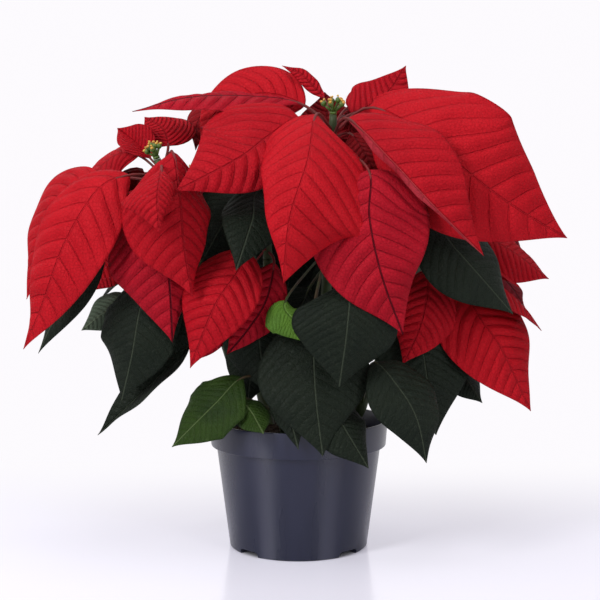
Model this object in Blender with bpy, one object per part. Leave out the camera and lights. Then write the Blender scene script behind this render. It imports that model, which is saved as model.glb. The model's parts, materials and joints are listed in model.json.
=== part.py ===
"""Poinsettia in a round nursery pot: pot, soil and seven branches with leaves, bracts and small flowers.

Metres, +Z up. The origin is the centre of the pot's underside, and the plant is seen from -Y.
"""

import math

import bpy
import numpy as np

MM = 0.001
GAP = 0.0003

# Pot, a 13 cm nursery pot
RIM_RADIUS = 0.066
POT_HEIGHT = 0.094
COLLAR_HEIGHT = 0.019
COLLAR_FOOT_RADIUS = 0.0645
BODY_TOP_RADIUS = 0.0606
BODY_FOOT_RADIUS = 0.0508
WALL = 0.0015
FLOOR_THICKNESS = 0.0018
DISC_RADIUS = 0.038
CHANNEL_OUTER_RADIUS = 0.047
CHANNEL_RISE = 0.005
FOOT_EASE = 0.0014
EDGE_EASE = 0.0004
POT_SIDES = 36
FEET = 4
NOTCH_WIDTH = 0.018
NOTCH_HEIGHT = 0.004
DRAIN_HOLES = 8
DRAIN_RADIUS = 0.0036
DRAIN_SIDES = 8
CUTTER_EXCESS = 0.002
SMOOTH_UP_TO = math.radians(35)

# Soil. Its surface is given as shares of the inner radius with heights above SOIL_TOP
SOIL_TOP = 0.083
SOIL_SURFACE = ((1.03, -0.0035), (0.8, -0.001), (0.4, 0.0021), (0.07, 0.003))
SOIL_SIDES = 24
ROOTING_DEPTH = 0.028

# Branches, in millimetres: radius at the soil and at the head, and where the bracts begin along each
STEM_RADIUS_LOW = 4.2
STEM_RADIUS_HIGH = 3.4
STEM_SIDES = 6
STEM_STRIDE = 6
BRACTS_FROM = 0.9
HEAD_REACH = 4.5
HEAD_RADIUS = 2.6
HOLE_REACH = 12
ROUTE_STEPS = 60

# The viewing point from which the routes below are read, in millimetres
EYE = np.array([1.1, -900.0, 246.0])

# Leaves, in millimetres. A blade wider than WIDE_BLADE has a finer mesh
BLADE_THICKNESS = 0.8
STALK_WIDTH = 2.4
STALK_THICKNESS = 1.8
WIDE_BLADE = 61
WIDE_SEGMENTS = 7
NARROW_SEGMENTS = 6
CAMBER = 15
SMALLEST_HALF = 0.8
TAPER_POWER = 0.95
TIP_DRAW = 0.55

# Pointed lobes of a toothed leaf: place along the blade, spread and share of their depth
LOBES = ((0.30, 0.05, 1.0), (0.55, 0.045, 0.8))

# Routes of the branches from the soil to their heads, in millimetres
BRANCHES = {
    "front_tall": ((12, 2, 84), (20, 0, 180), (24.6, -18, 310.8)),
    "left": ((-32, -8, 84), (-62, -20, 180), (-97.7, -34, 278.8)),
    "right": ((38, -4, 84), (66, -8, 150), (103.9, -12, 219.8)),
    "front_low": ((-8, -34, 84), (-20, -30, 150), (-21.9, -32, 227.4)),
    "back": ((4, 30, 84), (8, 56, 190), (14, 84, 296)),
    "back_left": ((-22, 22, 84), (-48, 52, 180), (-84, 92, 268)),
    "back_right": ((26, 20, 84), (56, 46, 180), (96, 78, 262)),
}


def leaf(at, route, width, face, bend=(20, 20), curl=CAMBER, widest=0.42, base=0.75, share=(1, 1), teeth=0):
    """One leaf or bract, in millimetres and degrees.

    at: where along the branch it grows. route: the middle rib after that, as x and z where the line of
    sight meets the plant's middle plane, and how far in front of this plane. face: turn and tilt of its
    upper side. bend: how far its left and right halves fold back. share: how much of half the width
    each half has.
    """
    pair = widest if isinstance(widest, tuple) else (widest, widest)
    return {
        "at": at,
        "route": [seen_from_front(*point) for point in route],
        "width": width,
        "face": face,
        "bend": bend,
        "curl": curl,
        "widest": pair,
        "base": base if isinstance(base, tuple) else (base, base),
        "share": share,
        "teeth": teeth,
        "stalk": None,
        "across": 2 if width > WIDE_BLADE else 1,
    }


def arching_leaf(at, turn, rise, length, width, droop=60, stalk=0.2):
    """A leaf that leaves its branch towards turn, rises, and droops along an arc."""
    return {
        "at": at,
        "arc": (turn, rise, droop, length),
        "width": width,
        "face": (turn, 60),
        "bend": (18, 18),
        "curl": CAMBER,
        "widest": (0.42, 0.42),
        "base": (0.75, 0.75),
        "share": (1, 1),
        "teeth": 0,
        "stalk": stalk,
        "across": 1,
    }


def seen_from_front(x, z, out):
    """The point out millimetres in front of the middle plane, on the line of sight through x, z."""
    on_plane = np.array([x, 0.0, z])
    return EYE + (on_plane - EYE) * (EYE[1] + out) / EYE[1]


def aim(turn, tilt):
    """Unit vector: turn 0 is towards the front and 90 towards +X, and tilt is the angle above level."""
    turn, tilt = math.radians(turn), math.radians(tilt)
    return np.array([math.sin(turn) * math.cos(tilt), -math.cos(turn) * math.cos(tilt), math.sin(tilt)])


def smooth_route(points, steps=ROUTE_STEPS):
    """steps + 1 points evenly spaced along a smooth curve through the given points."""
    points = np.asarray(points, float)
    ends = np.vstack([2 * points[0] - points[1], points, 2 * points[-1] - points[-2]])
    fine = np.linspace(0, 1, 40, endpoint=False)[:, None]
    pieces = []
    for a, b, c, d in zip(ends, ends[1:], ends[2:], ends[3:]):
        bend = (2 * a - 5 * b + 4 * c - d) * fine**2 + (3 * b - 3 * c + d - a) * fine**3
        pieces.append(0.5 * (2 * b + (c - a) * fine + bend))
    dense = np.vstack(pieces + [points[-1:]])
    length = np.concatenate([[0], np.cumsum(np.linalg.norm(np.diff(dense, axis=0), axis=1))])
    return sample(dense, length, np.linspace(0, length[-1], steps + 1))


def sample(rows, places, wanted):
    """The rows, which lie at places, read between them where wanted."""
    return np.stack([np.interp(wanted, places, rows[:, k]) for k in range(rows.shape[1])], axis=1)


def unit(rows):
    return rows / np.linalg.norm(rows, axis=-1, keepdims=True)


def arc_points(root, turn, rise, droop, length, count=5):
    """Points along an arc from root that starts rise degrees up and ends droop degrees down."""
    points = [np.array(root)]
    for k in range(count):
        slope = rise - (droop + rise) * (k + 0.5) / count
        points.append(points[-1] + aim(turn, slope) * length / count)
    return points


# Routes with their leaves and bracts, branch by branch
BRACTS = {
    "front_tall": (
        # The long front bract, the one to its left and the two at the upper left
        leaf(0.97, ((13, 317, 42), (7, 284, 84), (-6, 242, 106), (-11, 194, 102)), 100, (4, 25),
             bend=(28, 28), curl=22, widest=(0.22, 0.52), base=(0.35, 0.75),
             share=(0.72, 1.4)),
        leaf(0.95, ((1, 314, 34), (-21, 302, 48), (-44, 285, 68), (-90, 261, 80)), 84, (-8, 20),
             bend=(14, 26), curl=20, widest=(0.34, 0.4), base=0.6, share=(1.12, 0.66)),
        leaf(0.96, ((5, 323, 5), (-25, 332, -6), (-56, 322, -4), (-72, 297, 2)), 52, (-20, 20),
             bend=(10, 30)),
        leaf(0.98, ((1, 325, 10), (-35, 330, 8), (-79, 329, 18), (-121, 319, 26)), 48, (0, 76),
             bend=(-8, 22), share=(0.35, 0.9)),
        # The three large ones at the right
        leaf(0.93, ((51, 277, 64), (52, 242, 82), (61, 200, 88), (77, 156, 80)), 84, (0, 20),
             bend=(10, 10), widest=(0.38, 0.3), base=0.5),
        leaf(0.95, ((36, 314, 40), (67, 285, 78), (98, 252, 90), (136, 214, 86)), 80, (12, 15),
             bend=(62, 0), curl=14, widest=(0.3, 0.44), base=0.6, share=(0.14, 1)),
        leaf(0.96, ((52, 322, 20), (92, 303, 54), (125, 274, 66), (161, 248, 58), (197, 227, 44)), 94,
             (5, 18), bend=(22, 4), widest=(0.44, 0.46), base=0.6, share=(1, 1.14)),
        # The small upright ones round the flowers
        leaf(0.99, ((38, 317, 8), (53, 324, 2), (67, 335, -4), (78, 352, -10)), 46, (10, 25), bend=(8, 20),
             widest=0.34),
        leaf(0.98, ((36, 322, -8), (60, 330, -16), (80, 332, -22)), 36, (10, 30)),
        leaf(1.0, ((19, 328, 4), (12, 336, 2), (2, 346, -2), (-12, 352, -8)), 12, (10, 20),
             bend=(10, 10)),
        # Darker ones behind the stalks of the large ones
        leaf(0.945, ((38, 303, 14), (50, 286, 30), (62, 262, 36)), 46, (10, 20)),
        leaf(0.957, ((33, 316, -8), (46, 305, -14), (60, 290, -18)), 44, (10, 30)),
        leaf(0.95, ((24, 300, 2), (21, 314, -14), (19, 333, -22)), 56, (0, 15), base=0.4),
        arching_leaf(0.94, 196, 14, 80, 50, droop=30),
        arching_leaf(0.925, 140, 6, 80, 50, droop=30),
    ),
    "left": (
        leaf(0.955, ((-123, 273, 46), (-147, 262, 62), (-172, 222, 68), (-190, 174, 60), (-203, 145, 50)),
             62, (-15, 30), bend=(12, 20), widest=0.38, base=0.6),
        leaf(0.94, ((-145, 272, 20), (-173, 259, 8), (-188, 229, 0), (-200, 182, -8)), 54, (-30, 30),
             bend=(12, 15), widest=0.38),
        leaf(0.99, ((-100, 278, 70), (-103, 258, 98), (-102, 231, 104)), 58, (-20, 15), bend=(6, 60),
             share=(1, 0.4)),
        leaf(0.97, ((-92, 290, 48), (-87, 258, 70), (-84, 222, 76), (-78, 184, 74)), 84, (-8, 15),
             bend=(2, 66), widest=(0.5, 0.42), share=(1, 0.8)),
        leaf(0.93, ((-107, 262, 46), (-100, 229, 60), (-95, 196, 62), (-93, 150, 54)), 84, (-10, 12),
             bend=(2, 55), widest=(0.45, 0.42), share=(1, 0.55)),
        leaf(0.963, ((-116, 287, 22), (-132, 288, 14), (-149, 273, 8), (-160, 244, 6)), 46, (-30, 45)),
        leaf(0.983, ((-108, 285, 26), (-117, 295, 18), (-132, 307, 6)), 30, (-10, 40), bend=(-30, -30)),
        leaf(0.976, ((-95, 294, 18), (-99, 307, 8), (-112, 315, -2)), 50, (-5, 45)),
        # One behind the heart, and one that shows under the two at the left
        leaf(0.947, ((-112, 274, 10), (-124, 260, 8), (-130, 236, 6)), 44, (-10, 20)),
        leaf(0.935, ((-138, 222, -8), (-148, 204, -12), (-157, 187, -16)), 40, (-20, 20)),
        arching_leaf(0.95, 168, 30, 95, 62),
        arching_leaf(0.93, 216, 8, 95, 62),
    ),
    "right": (
        leaf(0.96, ((97, 205, 30), (94, 181, 40), (88, 158, 46), (77, 134, 48)), 52, (15, 20),
             bend=(30, 10)),
        leaf(0.95, ((121, 190, 14), (134, 168, 24), (150, 145, 28), (172, 99, 20)), 72, (20, 20),
             bend=(12, 12), widest=0.31, base=0.5),
        leaf(0.97, ((133, 227, 0), (157, 217, -4), (184, 197, -12)), 50, (20, 45)),
        arching_leaf(0.95, 118, 8, 95, 60),
        arching_leaf(0.93, 84, -6, 95, 60),
    ),
    "front_low": (
        leaf(0.95, ((-35, 216, 48), (-46, 200, 60), (-62, 176, 72), (-80, 131, 70)), 58, (-12, 20),
             bend=(15, 15), widest=(0.35, 0.4), base=(0.3, 0.6), share=(1.1, 0.85)),
        leaf(0.94, ((-18, 209, 44), (-24, 181, 50), (-38, 159, 53), (-53, 141, 53)), 52, (5, 15),
             share=(1, 0.6)),
        leaf(0.96, ((-36, 203, 31), (-49, 174, 30), (-64, 148, 28), (-78, 136, 26)), 20, (0, 30)),
    ),
    "back": (
        leaf(0.96, ((-35, 324, -50), (-56, 329, -30), (-72, 314, -14), (-75, 291, -6)), 36, (-20, 30)),
        arching_leaf(0.98, 180, 35, 125, 70),
        arching_leaf(0.94, 144, 4, 120, 70),
        arching_leaf(0.953, 216, 12, 120, 70),
        arching_leaf(0.97, 112, 42, 85, 70),
        arching_leaf(0.962, 248, 42, 85, 70),
    ),
    "back_left": (
        arching_leaf(0.94, 196, 0, 110, 70),
        arching_leaf(0.98, 222, 40, 115, 70),
        arching_leaf(0.953, 248, 16, 115, 70),
        arching_leaf(0.967, 276, 44, 100, 70),
        arching_leaf(0.927, 300, 0, 90, 70),
    ),
    "back_right": (
        arching_leaf(0.94, 164, 0, 110, 70),
        arching_leaf(0.98, 138, 40, 115, 70),
        arching_leaf(0.953, 112, 16, 115, 70),
        arching_leaf(0.967, 86, 44, 100, 70),
        arching_leaf(0.927, 60, 0, 90, 70),
    ),
}

LEAVES = {
    "front_tall": (
        # The small young leaf, the two large front ones, the two in the gap at the left, the right one
        leaf(0.6, ((-9, 182, 52), (-3, 166, 66), (5, 150, 70)), 34, (10, 20), teeth=2),
        leaf(0.62, ((11, 173, 46), (11, 139, 62), (13, 106, 74), (18, 65, 78)), 80, (0, 20), bend=(12, 12)),
        leaf(0.75, ((36, 195, 74), (36, 163, 88), (30, 117, 84)), 76, (15, 15), bend=(25, 8)),
        leaf(0.8, ((-27, 262, 12), (-50, 245, 18), (-72, 208, 12)), 66, (-10, 20)),
        leaf(0.88, ((-27, 264, 30), (-34, 240, 60), (-46, 203, 74)), 44, (5, 15), bend=(10, 10)),
        leaf(0.85, ((90, 245, 32), (119, 215, 46), (158, 171, 44)), 62, (20, 25), bend=(12, 12)),
        # Two behind the stem, which close the middle of the plant
        leaf(0.72, ((30, 228, -14), (38, 195, -22), (42, 150, -24)), 60, (10, 12), bend=(4, 4)),
        leaf(0.55, ((8, 190, -14), (-4, 160, -20), (-12, 118, -22)), 60, (-10, 12), bend=(4, 4)),
    ),
    "left": (
        leaf(0.8, ((-138, 229, 20), (-162, 196, 26), (-182, 163, 26), (-192, 142, 20)), 31, (-30, 20)),
        leaf(0.6, ((-117, 181, -10), (-137, 176, -12), (-160, 159, -14)), 36, (30, 40)),
        leaf(0.75, ((-109, 200, 36), (-117, 174, 46), (-123, 141, 50), (-131, 107, 42)), 58, (-12, 15),
             bend=(15, 15), teeth=1.5),
        leaf(0.5, ((-79, 150, 22), (-110, 118, 28), (-149, 81, 26)), 34, (0, 65), bend=(-35, -20)),
        leaf(0.55, ((-82, 178, 18), (-88, 160, 22), (-96, 138, 24)), 28, (-10, 20)),
    ),
    "front_low": (
        leaf(0.3, ((-41, 124, 46), (-62, 104, 54), (-94, 72, 52)), 46, (-15, 40), bend=(8, 8), teeth=2),
        leaf(0.8, ((-21, 181, 40), (-29, 156, 44), (-24, 112, 47)), 56, (-15, 12), bend=(8, 40)),
        leaf(0.35, ((20, 109, 56), (34, 86, 72), (52, 56, 74)), 40, (12, 30)),
        leaf(0.4, ((-19, 118, 48), (-9, 101, 67), (0, 70, 73)), 24, (-10, 30)),
        leaf(0.62, ((-27, 162, 24), (-33, 144, 29), (-38, 104, 30)), 42, (-10, 12), bend=(8, 8)),
        leaf(0.12, ((-40, 109, 50), (-33, 95, 62), (-26, 82, 76)), 26, (0, 40)),
    ),
    "right": (
        leaf(0.8, ((88, 173, 24), (93, 137, 38), (102, 81, 46)), 68, (8, 15), bend=(12, 12), teeth=2),
        leaf(0.15, ((55, 135, 56), (75, 115, 74), (88, 92, 82), (95, 60, 80)), 50, (15, 30), bend=(12, 12)),
        leaf(0.4, ((113, 137, 2), (125, 122, 8), (136, 105, 8)), 30, (20, 30)),
    ),
    "back": (
        arching_leaf(0.74, 160, 18, 110, 62, droop=62),
        arching_leaf(0.66, 200, 18, 110, 62, droop=62),
        # Large ones that hang towards the front and close the gaps among the stems
        leaf(0.86, ((4, 262, -46), (-4, 226, -42), (-10, 172, -40)), 60, (0, 10), bend=(4, 4)),
        leaf(0.82, ((36, 262, -44), (50, 225, -40), (58, 182, -38)), 60, (0, 10), bend=(4, 4)),
    ),
    "back_left": (
        arching_leaf(0.74, 212, 18, 110, 62, droop=62),
        arching_leaf(0.66, 246, 18, 110, 62, droop=62),
        arching_leaf(0.70, 278, 18, 110, 62, droop=62),
    ),
    "back_right": (
        arching_leaf(0.74, 150, 18, 110, 62, droop=62),
        arching_leaf(0.66, 122, 18, 110, 62, droop=62),
        arching_leaf(0.70, 94, 18, 110, 62, droop=62),
    ),
}

# Flower buds in the heart of each head: how many, and how far they stand out from its middle, in millimetres
FLOWERS = {
    "front_tall": (6, 7.0),
    "left": (5, 4.5),
    "right": (4, 4.5),
    "front_low": (4, 4.5),
    "back": (3, 5.0),
    "back_left": (3, 5.0),
    "back_right": (3, 5.0),
}
BUD_RADIUS = 2.5
BUD_SIDES = 5
BUD_STALK = 7.0
BUD_STALK_RADIUS = 0.9
MIDDLE_BUD_LIFT = 2.0
FLOWER_BASE_RADIUS = 2.4
FLOWER_BASE_HEIGHT = 2.0

# Rings of a bud from below: height and radius, as shares of its radius
BUD_RINGS = ((-0.6, 0.55), (0.3, 1.0), (1.2, 0.45))

# Colour, roughness
POT_FINISH = ((0.035, 0.036, 0.058), 0.35)
SOIL_FINISH = ((0.03, 0.018, 0.01), 1.0)
BRACT_FINISH = ((0.55, 0.008, 0.02), 0.55)
LEAF_FINISH = ((0.012, 0.05, 0.018), 0.5)
FLOWER_FINISH = ((0.45, 0.42, 0.05), 0.5)


def clear_scene():
    for obj in list(bpy.data.objects):
        bpy.data.objects.remove(obj, do_unlink=True)


def material(name, finish):
    colour, roughness = finish
    made = bpy.data.materials.new(name)
    made.use_nodes = True
    shader = made.node_tree.nodes["Principled BSDF"]
    shader.inputs["Base Color"].default_value = (*colour, 1)
    shader.inputs["Roughness"].default_value = roughness
    return made


def mesh_object(name, points, faces):
    """An object whose points are given in metres."""
    mesh = bpy.data.meshes.new(name)
    mesh.from_pydata([tuple(p) for p in points], [], [tuple(int(i) for i in f) for f in faces])
    mesh.update()
    obj = bpy.data.objects.new(name, mesh)
    bpy.context.scene.collection.objects.link(obj)
    return obj


def applied(obj):
    """The object with its modifiers worked into its mesh."""
    graph = bpy.context.evaluated_depsgraph_get()
    mesh = bpy.data.meshes.new_from_object(obj.evaluated_get(graph))
    obj.modifiers.clear()
    obj.data = mesh
    return obj


def combine(obj, others, operation, solver="EXACT"):
    """The object joined with, or cut by, all the others at once, which are then removed."""
    group = bpy.data.collections.new(obj.name + "_" + operation)
    bpy.context.scene.collection.children.link(group)
    for other in others:
        bpy.context.scene.collection.objects.unlink(other)
        group.objects.link(other)
    step = obj.modifiers.new(operation.title(), "BOOLEAN")
    step.operation = operation
    step.operand_type = "COLLECTION"
    step.collection = group
    step.solver = solver
    applied(obj)
    for other in others:
        bpy.data.objects.remove(other, do_unlink=True)
    bpy.data.collections.remove(group)
    return obj


def turned(name, profile, sides):
    """A closed solid turned round Z from radius and height pairs, listed from the bottom middle outwards."""
    points, faces = [], []
    inner = [(r, z) for r, z in profile if r > 0]
    for r, z in inner:
        for k in range(sides):
            angle = math.tau * (k + 0.5) / sides
            points.append((r * math.cos(angle), r * math.sin(angle), z))
    for row in range(len(inner) - 1):
        for k in range(sides):
            a, b = row * sides + k, row * sides + (k + 1) % sides
            faces.append((a, b, b + sides, a + sides))
    last = (len(inner) - 1) * sides
    faces.append(tuple(range(sides))[::-1])
    faces.append(tuple(last + k for k in range(sides)))
    return mesh_object(name, points, faces)


def tube(name, route, radii, sides):
    """A closed round bar along the route. radii: one for all, or one for each point. All in millimetres."""
    route = np.asarray(route, float)
    along = unit(np.gradient(route, axis=0))
    side = unit(np.array([1.0, 0, 0]) - along[:, :1] * along)
    other = np.cross(along, side)
    angle = math.tau * np.arange(sides) / sides
    radius = np.broadcast_to(radii, len(route))[:, None, None]
    ring = side[:, None] * np.cos(angle)[:, None] + other[:, None] * np.sin(angle)[:, None]
    points = (route[:, None] + radius * ring).reshape(-1, 3) * MM
    faces = []
    for row in range(len(route) - 1):
        for k in range(sides):
            a, b = row * sides + k, row * sides + (k + 1) % sides
            faces.append((a, b, b + sides, a + sides))
    last = (len(route) - 1) * sides
    faces.append(tuple(range(sides))[::-1])
    faces.append(tuple(last + k for k in range(sides)))
    return mesh_object(name, points, faces)


def half_width(along, widest, base):
    """Share of the half width at each place along a blade: round at the base, drawn out to a point."""
    rise = np.sin(math.pi / 2 * np.clip(along / widest, 0, 1)) ** base
    fall = np.clip((along - widest) / (1 - widest), 0, 1)
    taper = np.clip(np.cos(math.pi / 2 * fall), 0, 1) ** TAPER_POWER * (1 - TIP_DRAW * fall**3)
    return np.where(along < widest, rise, taper)


def leaf_frame(spec, root):
    """Middle rib, its facing side and its sideways direction at even steps, and where the blade begins."""
    if "arc" in spec:
        points = arc_points(root, *spec["arc"])
    else:
        points = [root] + spec["route"]
    stalk = spec["stalk"]
    if stalk is None:
        lengths = np.linalg.norm(np.diff(points, axis=0), axis=1)
        stalk = lengths[0] / lengths.sum()
    middle = smooth_route(points)
    along = unit(np.gradient(middle, axis=0))
    face = aim(*spec["face"])
    normal = unit(face - (along @ face)[:, None] * along)
    return middle, normal, np.cross(normal, along), stalk


def leaf_solid(spec, root):
    """Points and triangles of one leaf: a stalk that widens into a thin blade bent along its middle rib."""
    middle, normal, side, stalk = leaf_frame(spec, root)
    segments = WIDE_SEGMENTS if spec["across"] == 2 else NARROW_SEGMENTS
    columns = 2 * spec["across"] + 1
    places = np.arange(ROUTE_STEPS + 1) / ROUTE_STEPS
    along = np.linspace(0, 1, segments + 1)
    wanted = stalk + (1 - stalk) * along
    middle_at, normal_at, side_at = (sample(rows, places, wanted) for rows in (middle, normal, side))
    blade = np.zeros((segments + 1, columns, 3))
    lobes = sum(depth * np.exp(-(((along - place) / spread) ** 2)) for place, spread, depth in LOBES)
    for column, across in enumerate(np.linspace(-1, 1, columns)):
        right = int(across > 0)
        widest = spec["share"][right] * spec["width"] / 2
        half = widest * half_width(along, spec["widest"][right], spec["base"][right])
        half = np.maximum(half + spec["teeth"] * lobes, SMALLEST_HALF)
        start = math.radians(spec["bend"][right] - spec["curl"] / 2)
        curl = math.radians(spec["curl"])
        reach = abs(across)
        level = (math.sin(start + curl * reach) - math.sin(start)) / curl * np.sign(across)
        drop = (math.cos(start) - math.cos(start + curl * reach)) / curl
        blade[:, column] = middle_at + side_at * (level * half)[:, None] - normal_at * (drop * half)[:, None]
    up = unit(np.cross(np.gradient(blade, axis=0), np.gradient(blade, axis=1)))
    if (up[segments // 2, columns // 2] @ normal_at[segments // 2]) < 0:
        up = -up
    upper = list(blade + up * BLADE_THICKNESS / 2)
    lower = list(blade - up * BLADE_THICKNESS / 2)
    for share in (0.5, 0.0):
        i = round(stalk * share * ROUTE_STEPS)
        row = middle[i] + side[i] * np.linspace(-0.5, 0.5, columns)[:, None] * STALK_WIDTH
        upper.insert(0, row + normal[i] * STALK_THICKNESS / 2)
        lower.insert(0, row - normal[i] * STALK_THICKNESS / 2)
    points = np.concatenate([np.vstack([a, b[::-1]]) for a, b in zip(upper, lower)])
    return points * MM, loft_faces(len(upper), columns)


def loft_faces(rows, columns):
    """Triangles of a flat loft. Those of its two faces lie alike, so a bent blade can't cross itself."""
    ring = 2 * columns
    faces = []
    for row in range(rows - 1):
        for k in range(ring):
            a, b = row * ring + k, row * ring + (k + 1) % ring
            c, d = a + ring, b + ring
            faces += [(d, b, a), (c, d, a)] if k < columns else [(c, b, a), (c, d, b)]
    last = (rows - 1) * ring
    for k in range(columns - 1):
        a, b, c, d = k, k + 1, ring - 1 - k, ring - 2 - k
        faces += [(b, c, a), (d, c, b)]
        faces += [(last + c, last + b, last + a), (last + c, last + d, last + b)]
    return faces


def grow(name, core, specs, route, finish):
    """A node: its core with all its leaves fused to it."""
    blades = []
    for k, spec in enumerate(specs):
        root = sample(route, np.linspace(0, 1, len(route)), [spec["at"]])[0]
        blades.append(mesh_object(f"{name}_{k}", *leaf_solid(spec, root)))
    if blades:
        combine(core, blades, "UNION", "MANIFOLD")
    core.data.materials.clear()
    core.data.materials.append(material(name, finish))
    return core


def make_branch(branch, waypoints):
    """Green stem with its leaves, the bracts on its upper end, and the flowers on top."""
    route = smooth_route(waypoints)
    foot = route[0] - (route[1] - route[0]) / np.linalg.norm(route[1] - route[0]) * ROOTING_DEPTH / MM
    split = round(BRACTS_FROM * ROUTE_STEPS)
    green = np.vstack([foot, route[: split + 1 : STEM_STRIDE]])
    thinning = np.linspace(STEM_RADIUS_LOW, STEM_RADIUS_HIGH, len(green))
    stem = tube("leafy_stem_" + branch, green, thinning, STEM_SIDES)
    grow(stem.name, stem, LEAVES[branch], route, LEAF_FINISH)
    head_start = route[split] + unit(route[split + 1] - route[split]) * GAP / MM
    way = unit(route[-1] - route[-4])
    head_top = route[-1] + way * HEAD_REACH
    head_route = np.vstack([head_start, route[split + 2 :: 2], head_top])
    thinning = np.linspace(STEM_RADIUS_HIGH, HEAD_RADIUS, len(head_route))
    head = tube("bracts_" + branch, head_route, thinning, STEM_SIDES)
    grow(head.name, head, BRACTS[branch], route, BRACT_FINISH)
    make_flowers(branch, head_top, way)
    return green


def make_flowers(branch, top, way):
    """A few round buds on short stalks, spread evenly from one small base."""
    count, reach = FLOWERS[branch]
    foot = top + way * GAP / MM
    name = "flowers_" + branch
    base = tube(name, [foot, foot + way * FLOWER_BASE_HEIGHT], FLOWER_BASE_RADIUS, STEM_SIDES)
    side = unit(np.cross(way, [0.0, 1.0, 0.0]))
    other = np.cross(way, side)
    buds = []
    for k in range(count):
        angle = math.tau * k / (count - 1)
        spread = reach if k else 0.0
        rise = BUD_STALK if k else BUD_STALK + MIDDLE_BUD_LIFT
        end = foot + way * rise + (side * math.cos(angle) + other * math.sin(angle)) * spread
        start = foot + way * FLOWER_BASE_HEIGHT / 2
        buds.append(tube(f"{name}_stalk{k}", [start, end], BUD_STALK_RADIUS, 3))
        rings = [end + way * BUD_RADIUS * height for height, _ in BUD_RINGS]
        radii = [BUD_RADIUS * share for _, share in BUD_RINGS]
        buds.append(tube(f"{name}_bud{k}", rings, radii, BUD_SIDES))
    combine(base, buds, "UNION")
    base.data.materials.clear()
    base.data.materials.append(material(name, FLOWER_FINISH))


def make_pot():
    """A flat disc, a raised ring with drain holes and a standing rim, under a tapered wall with a collar."""
    collar_foot = POT_HEIGHT - COLLAR_HEIGHT
    outside = [
        (DISC_RADIUS, 0),
        (DISC_RADIUS + EDGE_EASE, CHANNEL_RISE),
        (CHANNEL_OUTER_RADIUS, CHANNEL_RISE),
        (CHANNEL_OUTER_RADIUS, 0),
        (BODY_FOOT_RADIUS - FOOT_EASE, 0),
        (BODY_FOOT_RADIUS, FOOT_EASE),
        (BODY_TOP_RADIUS, collar_foot),
        (COLLAR_FOOT_RADIUS - EDGE_EASE, collar_foot + EDGE_EASE),
        (COLLAR_FOOT_RADIUS, collar_foot + 4 * EDGE_EASE),
        (RIM_RADIUS, POT_HEIGHT - 2 * EDGE_EASE),
        (RIM_RADIUS - EDGE_EASE, POT_HEIGHT),
        (RIM_RADIUS - WALL, POT_HEIGHT),
    ]
    pot = turned("pot", outside + pot_inside(), POT_SIDES)
    cutters = [notch(k) for k in range(FEET)] + [drain(k) for k in range(DRAIN_HOLES)]
    combine(pot, cutters, "DIFFERENCE", "MANIFOLD")
    pot.data.materials.clear()
    pot.data.materials.append(material("pot", POT_FINISH))
    pot.data.shade_smooth()
    pot.data.set_sharp_from_angle(angle=SMOOTH_UP_TO)


def pot_inside():
    """The inner surface as radius and height pairs, from the rim down to the floor's middle."""
    collar_foot = POT_HEIGHT - COLLAR_HEIGHT
    floor = CHANNEL_RISE + FLOOR_THICKNESS
    return [
        (COLLAR_FOOT_RADIUS - WALL, collar_foot + FLOOR_THICKNESS),
        (BODY_TOP_RADIUS - WALL, collar_foot - FLOOR_THICKNESS),
        (BODY_FOOT_RADIUS - WALL + EDGE_EASE, floor),
        (DISC_RADIUS, floor),
        (DISC_RADIUS - FLOOR_THICKNESS, FLOOR_THICKNESS),
    ]


def notch(k):
    """Cutter for one gap in the standing rim, right through it."""
    angle = math.tau * (k + 0.5) / FEET
    inner, outer = CHANNEL_OUTER_RADIUS - CUTTER_EXCESS, BODY_FOOT_RADIUS + CUTTER_EXCESS
    size = (outer - inner, NOTCH_WIDTH, 2 * NOTCH_HEIGHT)
    return box_at(angle, (inner + outer) / 2, size, f"notch_{k}")


def box_at(angle, radius, size, name):
    """A box centred on the floor plane, at radius from the middle, turned to face it."""
    corners = [(x, y, z) for x in (-0.5, 0.5) for y in (-0.5, 0.5) for z in (-0.5, 0.5)]
    c, s = math.cos(angle), math.sin(angle)
    turn = np.array([[c, -s, 0], [s, c, 0], [0, 0, 1]])
    points = [turn @ (np.array(corner) * size + np.array([radius, 0, 0])) for corner in corners]
    faces = [(0, 1, 3, 2), (4, 6, 7, 5), (0, 4, 5, 1), (2, 3, 7, 6), (0, 2, 6, 4), (1, 5, 7, 3)]
    return mesh_object(name, points, faces)


def drain(k):
    """Cutter for one round hole in the raised ring of the floor."""
    angle = math.tau * (k + 0.5) / DRAIN_HOLES
    radius = (DISC_RADIUS + CHANNEL_OUTER_RADIUS) / 2 + EDGE_EASE
    x, y = radius * math.cos(angle), radius * math.sin(angle)
    low, high = CHANNEL_RISE - CUTTER_EXCESS, CHANNEL_RISE + FLOOR_THICKNESS + CUTTER_EXCESS
    ends = np.array([(x, y, low), (x, y, high)]) / MM
    return tube(f"drain_{k}", ends, DRAIN_RADIUS / MM, DRAIN_SIDES)


def make_soil(stems):
    """The filling, a little clear of the pot, with a plain hole for each stem."""
    inside = pot_inside()[::-1]
    profile = [(r - GAP, z + GAP) for r, z in inside[:2]]
    profile += [(r - 2 * GAP, z + GAP) for r, z in inside[2:4]]
    widest = profile[-1][0]
    profile += [(widest * share, SOIL_TOP + height) for share, height in SOIL_SURFACE]
    soil = turned("soil", profile, SOIL_SIDES)
    holes = []
    for k, green in enumerate(stems):
        way = unit(green[1] - green[0])
        ends = [green[0] - way * GAP / MM, green[1] + way * HOLE_REACH]
        holes.append(tube(f"hole_{k}", ends, STEM_RADIUS_LOW + 2 * GAP / MM, STEM_SIDES))
    combine(soil, holes, "DIFFERENCE")
    soil.data.materials.clear()
    soil.data.materials.append(material("soil", SOIL_FINISH))


def main():
    clear_scene()
    make_pot()
    stems = [make_branch(name, waypoints) for name, waypoints in BRANCHES.items()]
    make_soil(stems)


main()
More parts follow.
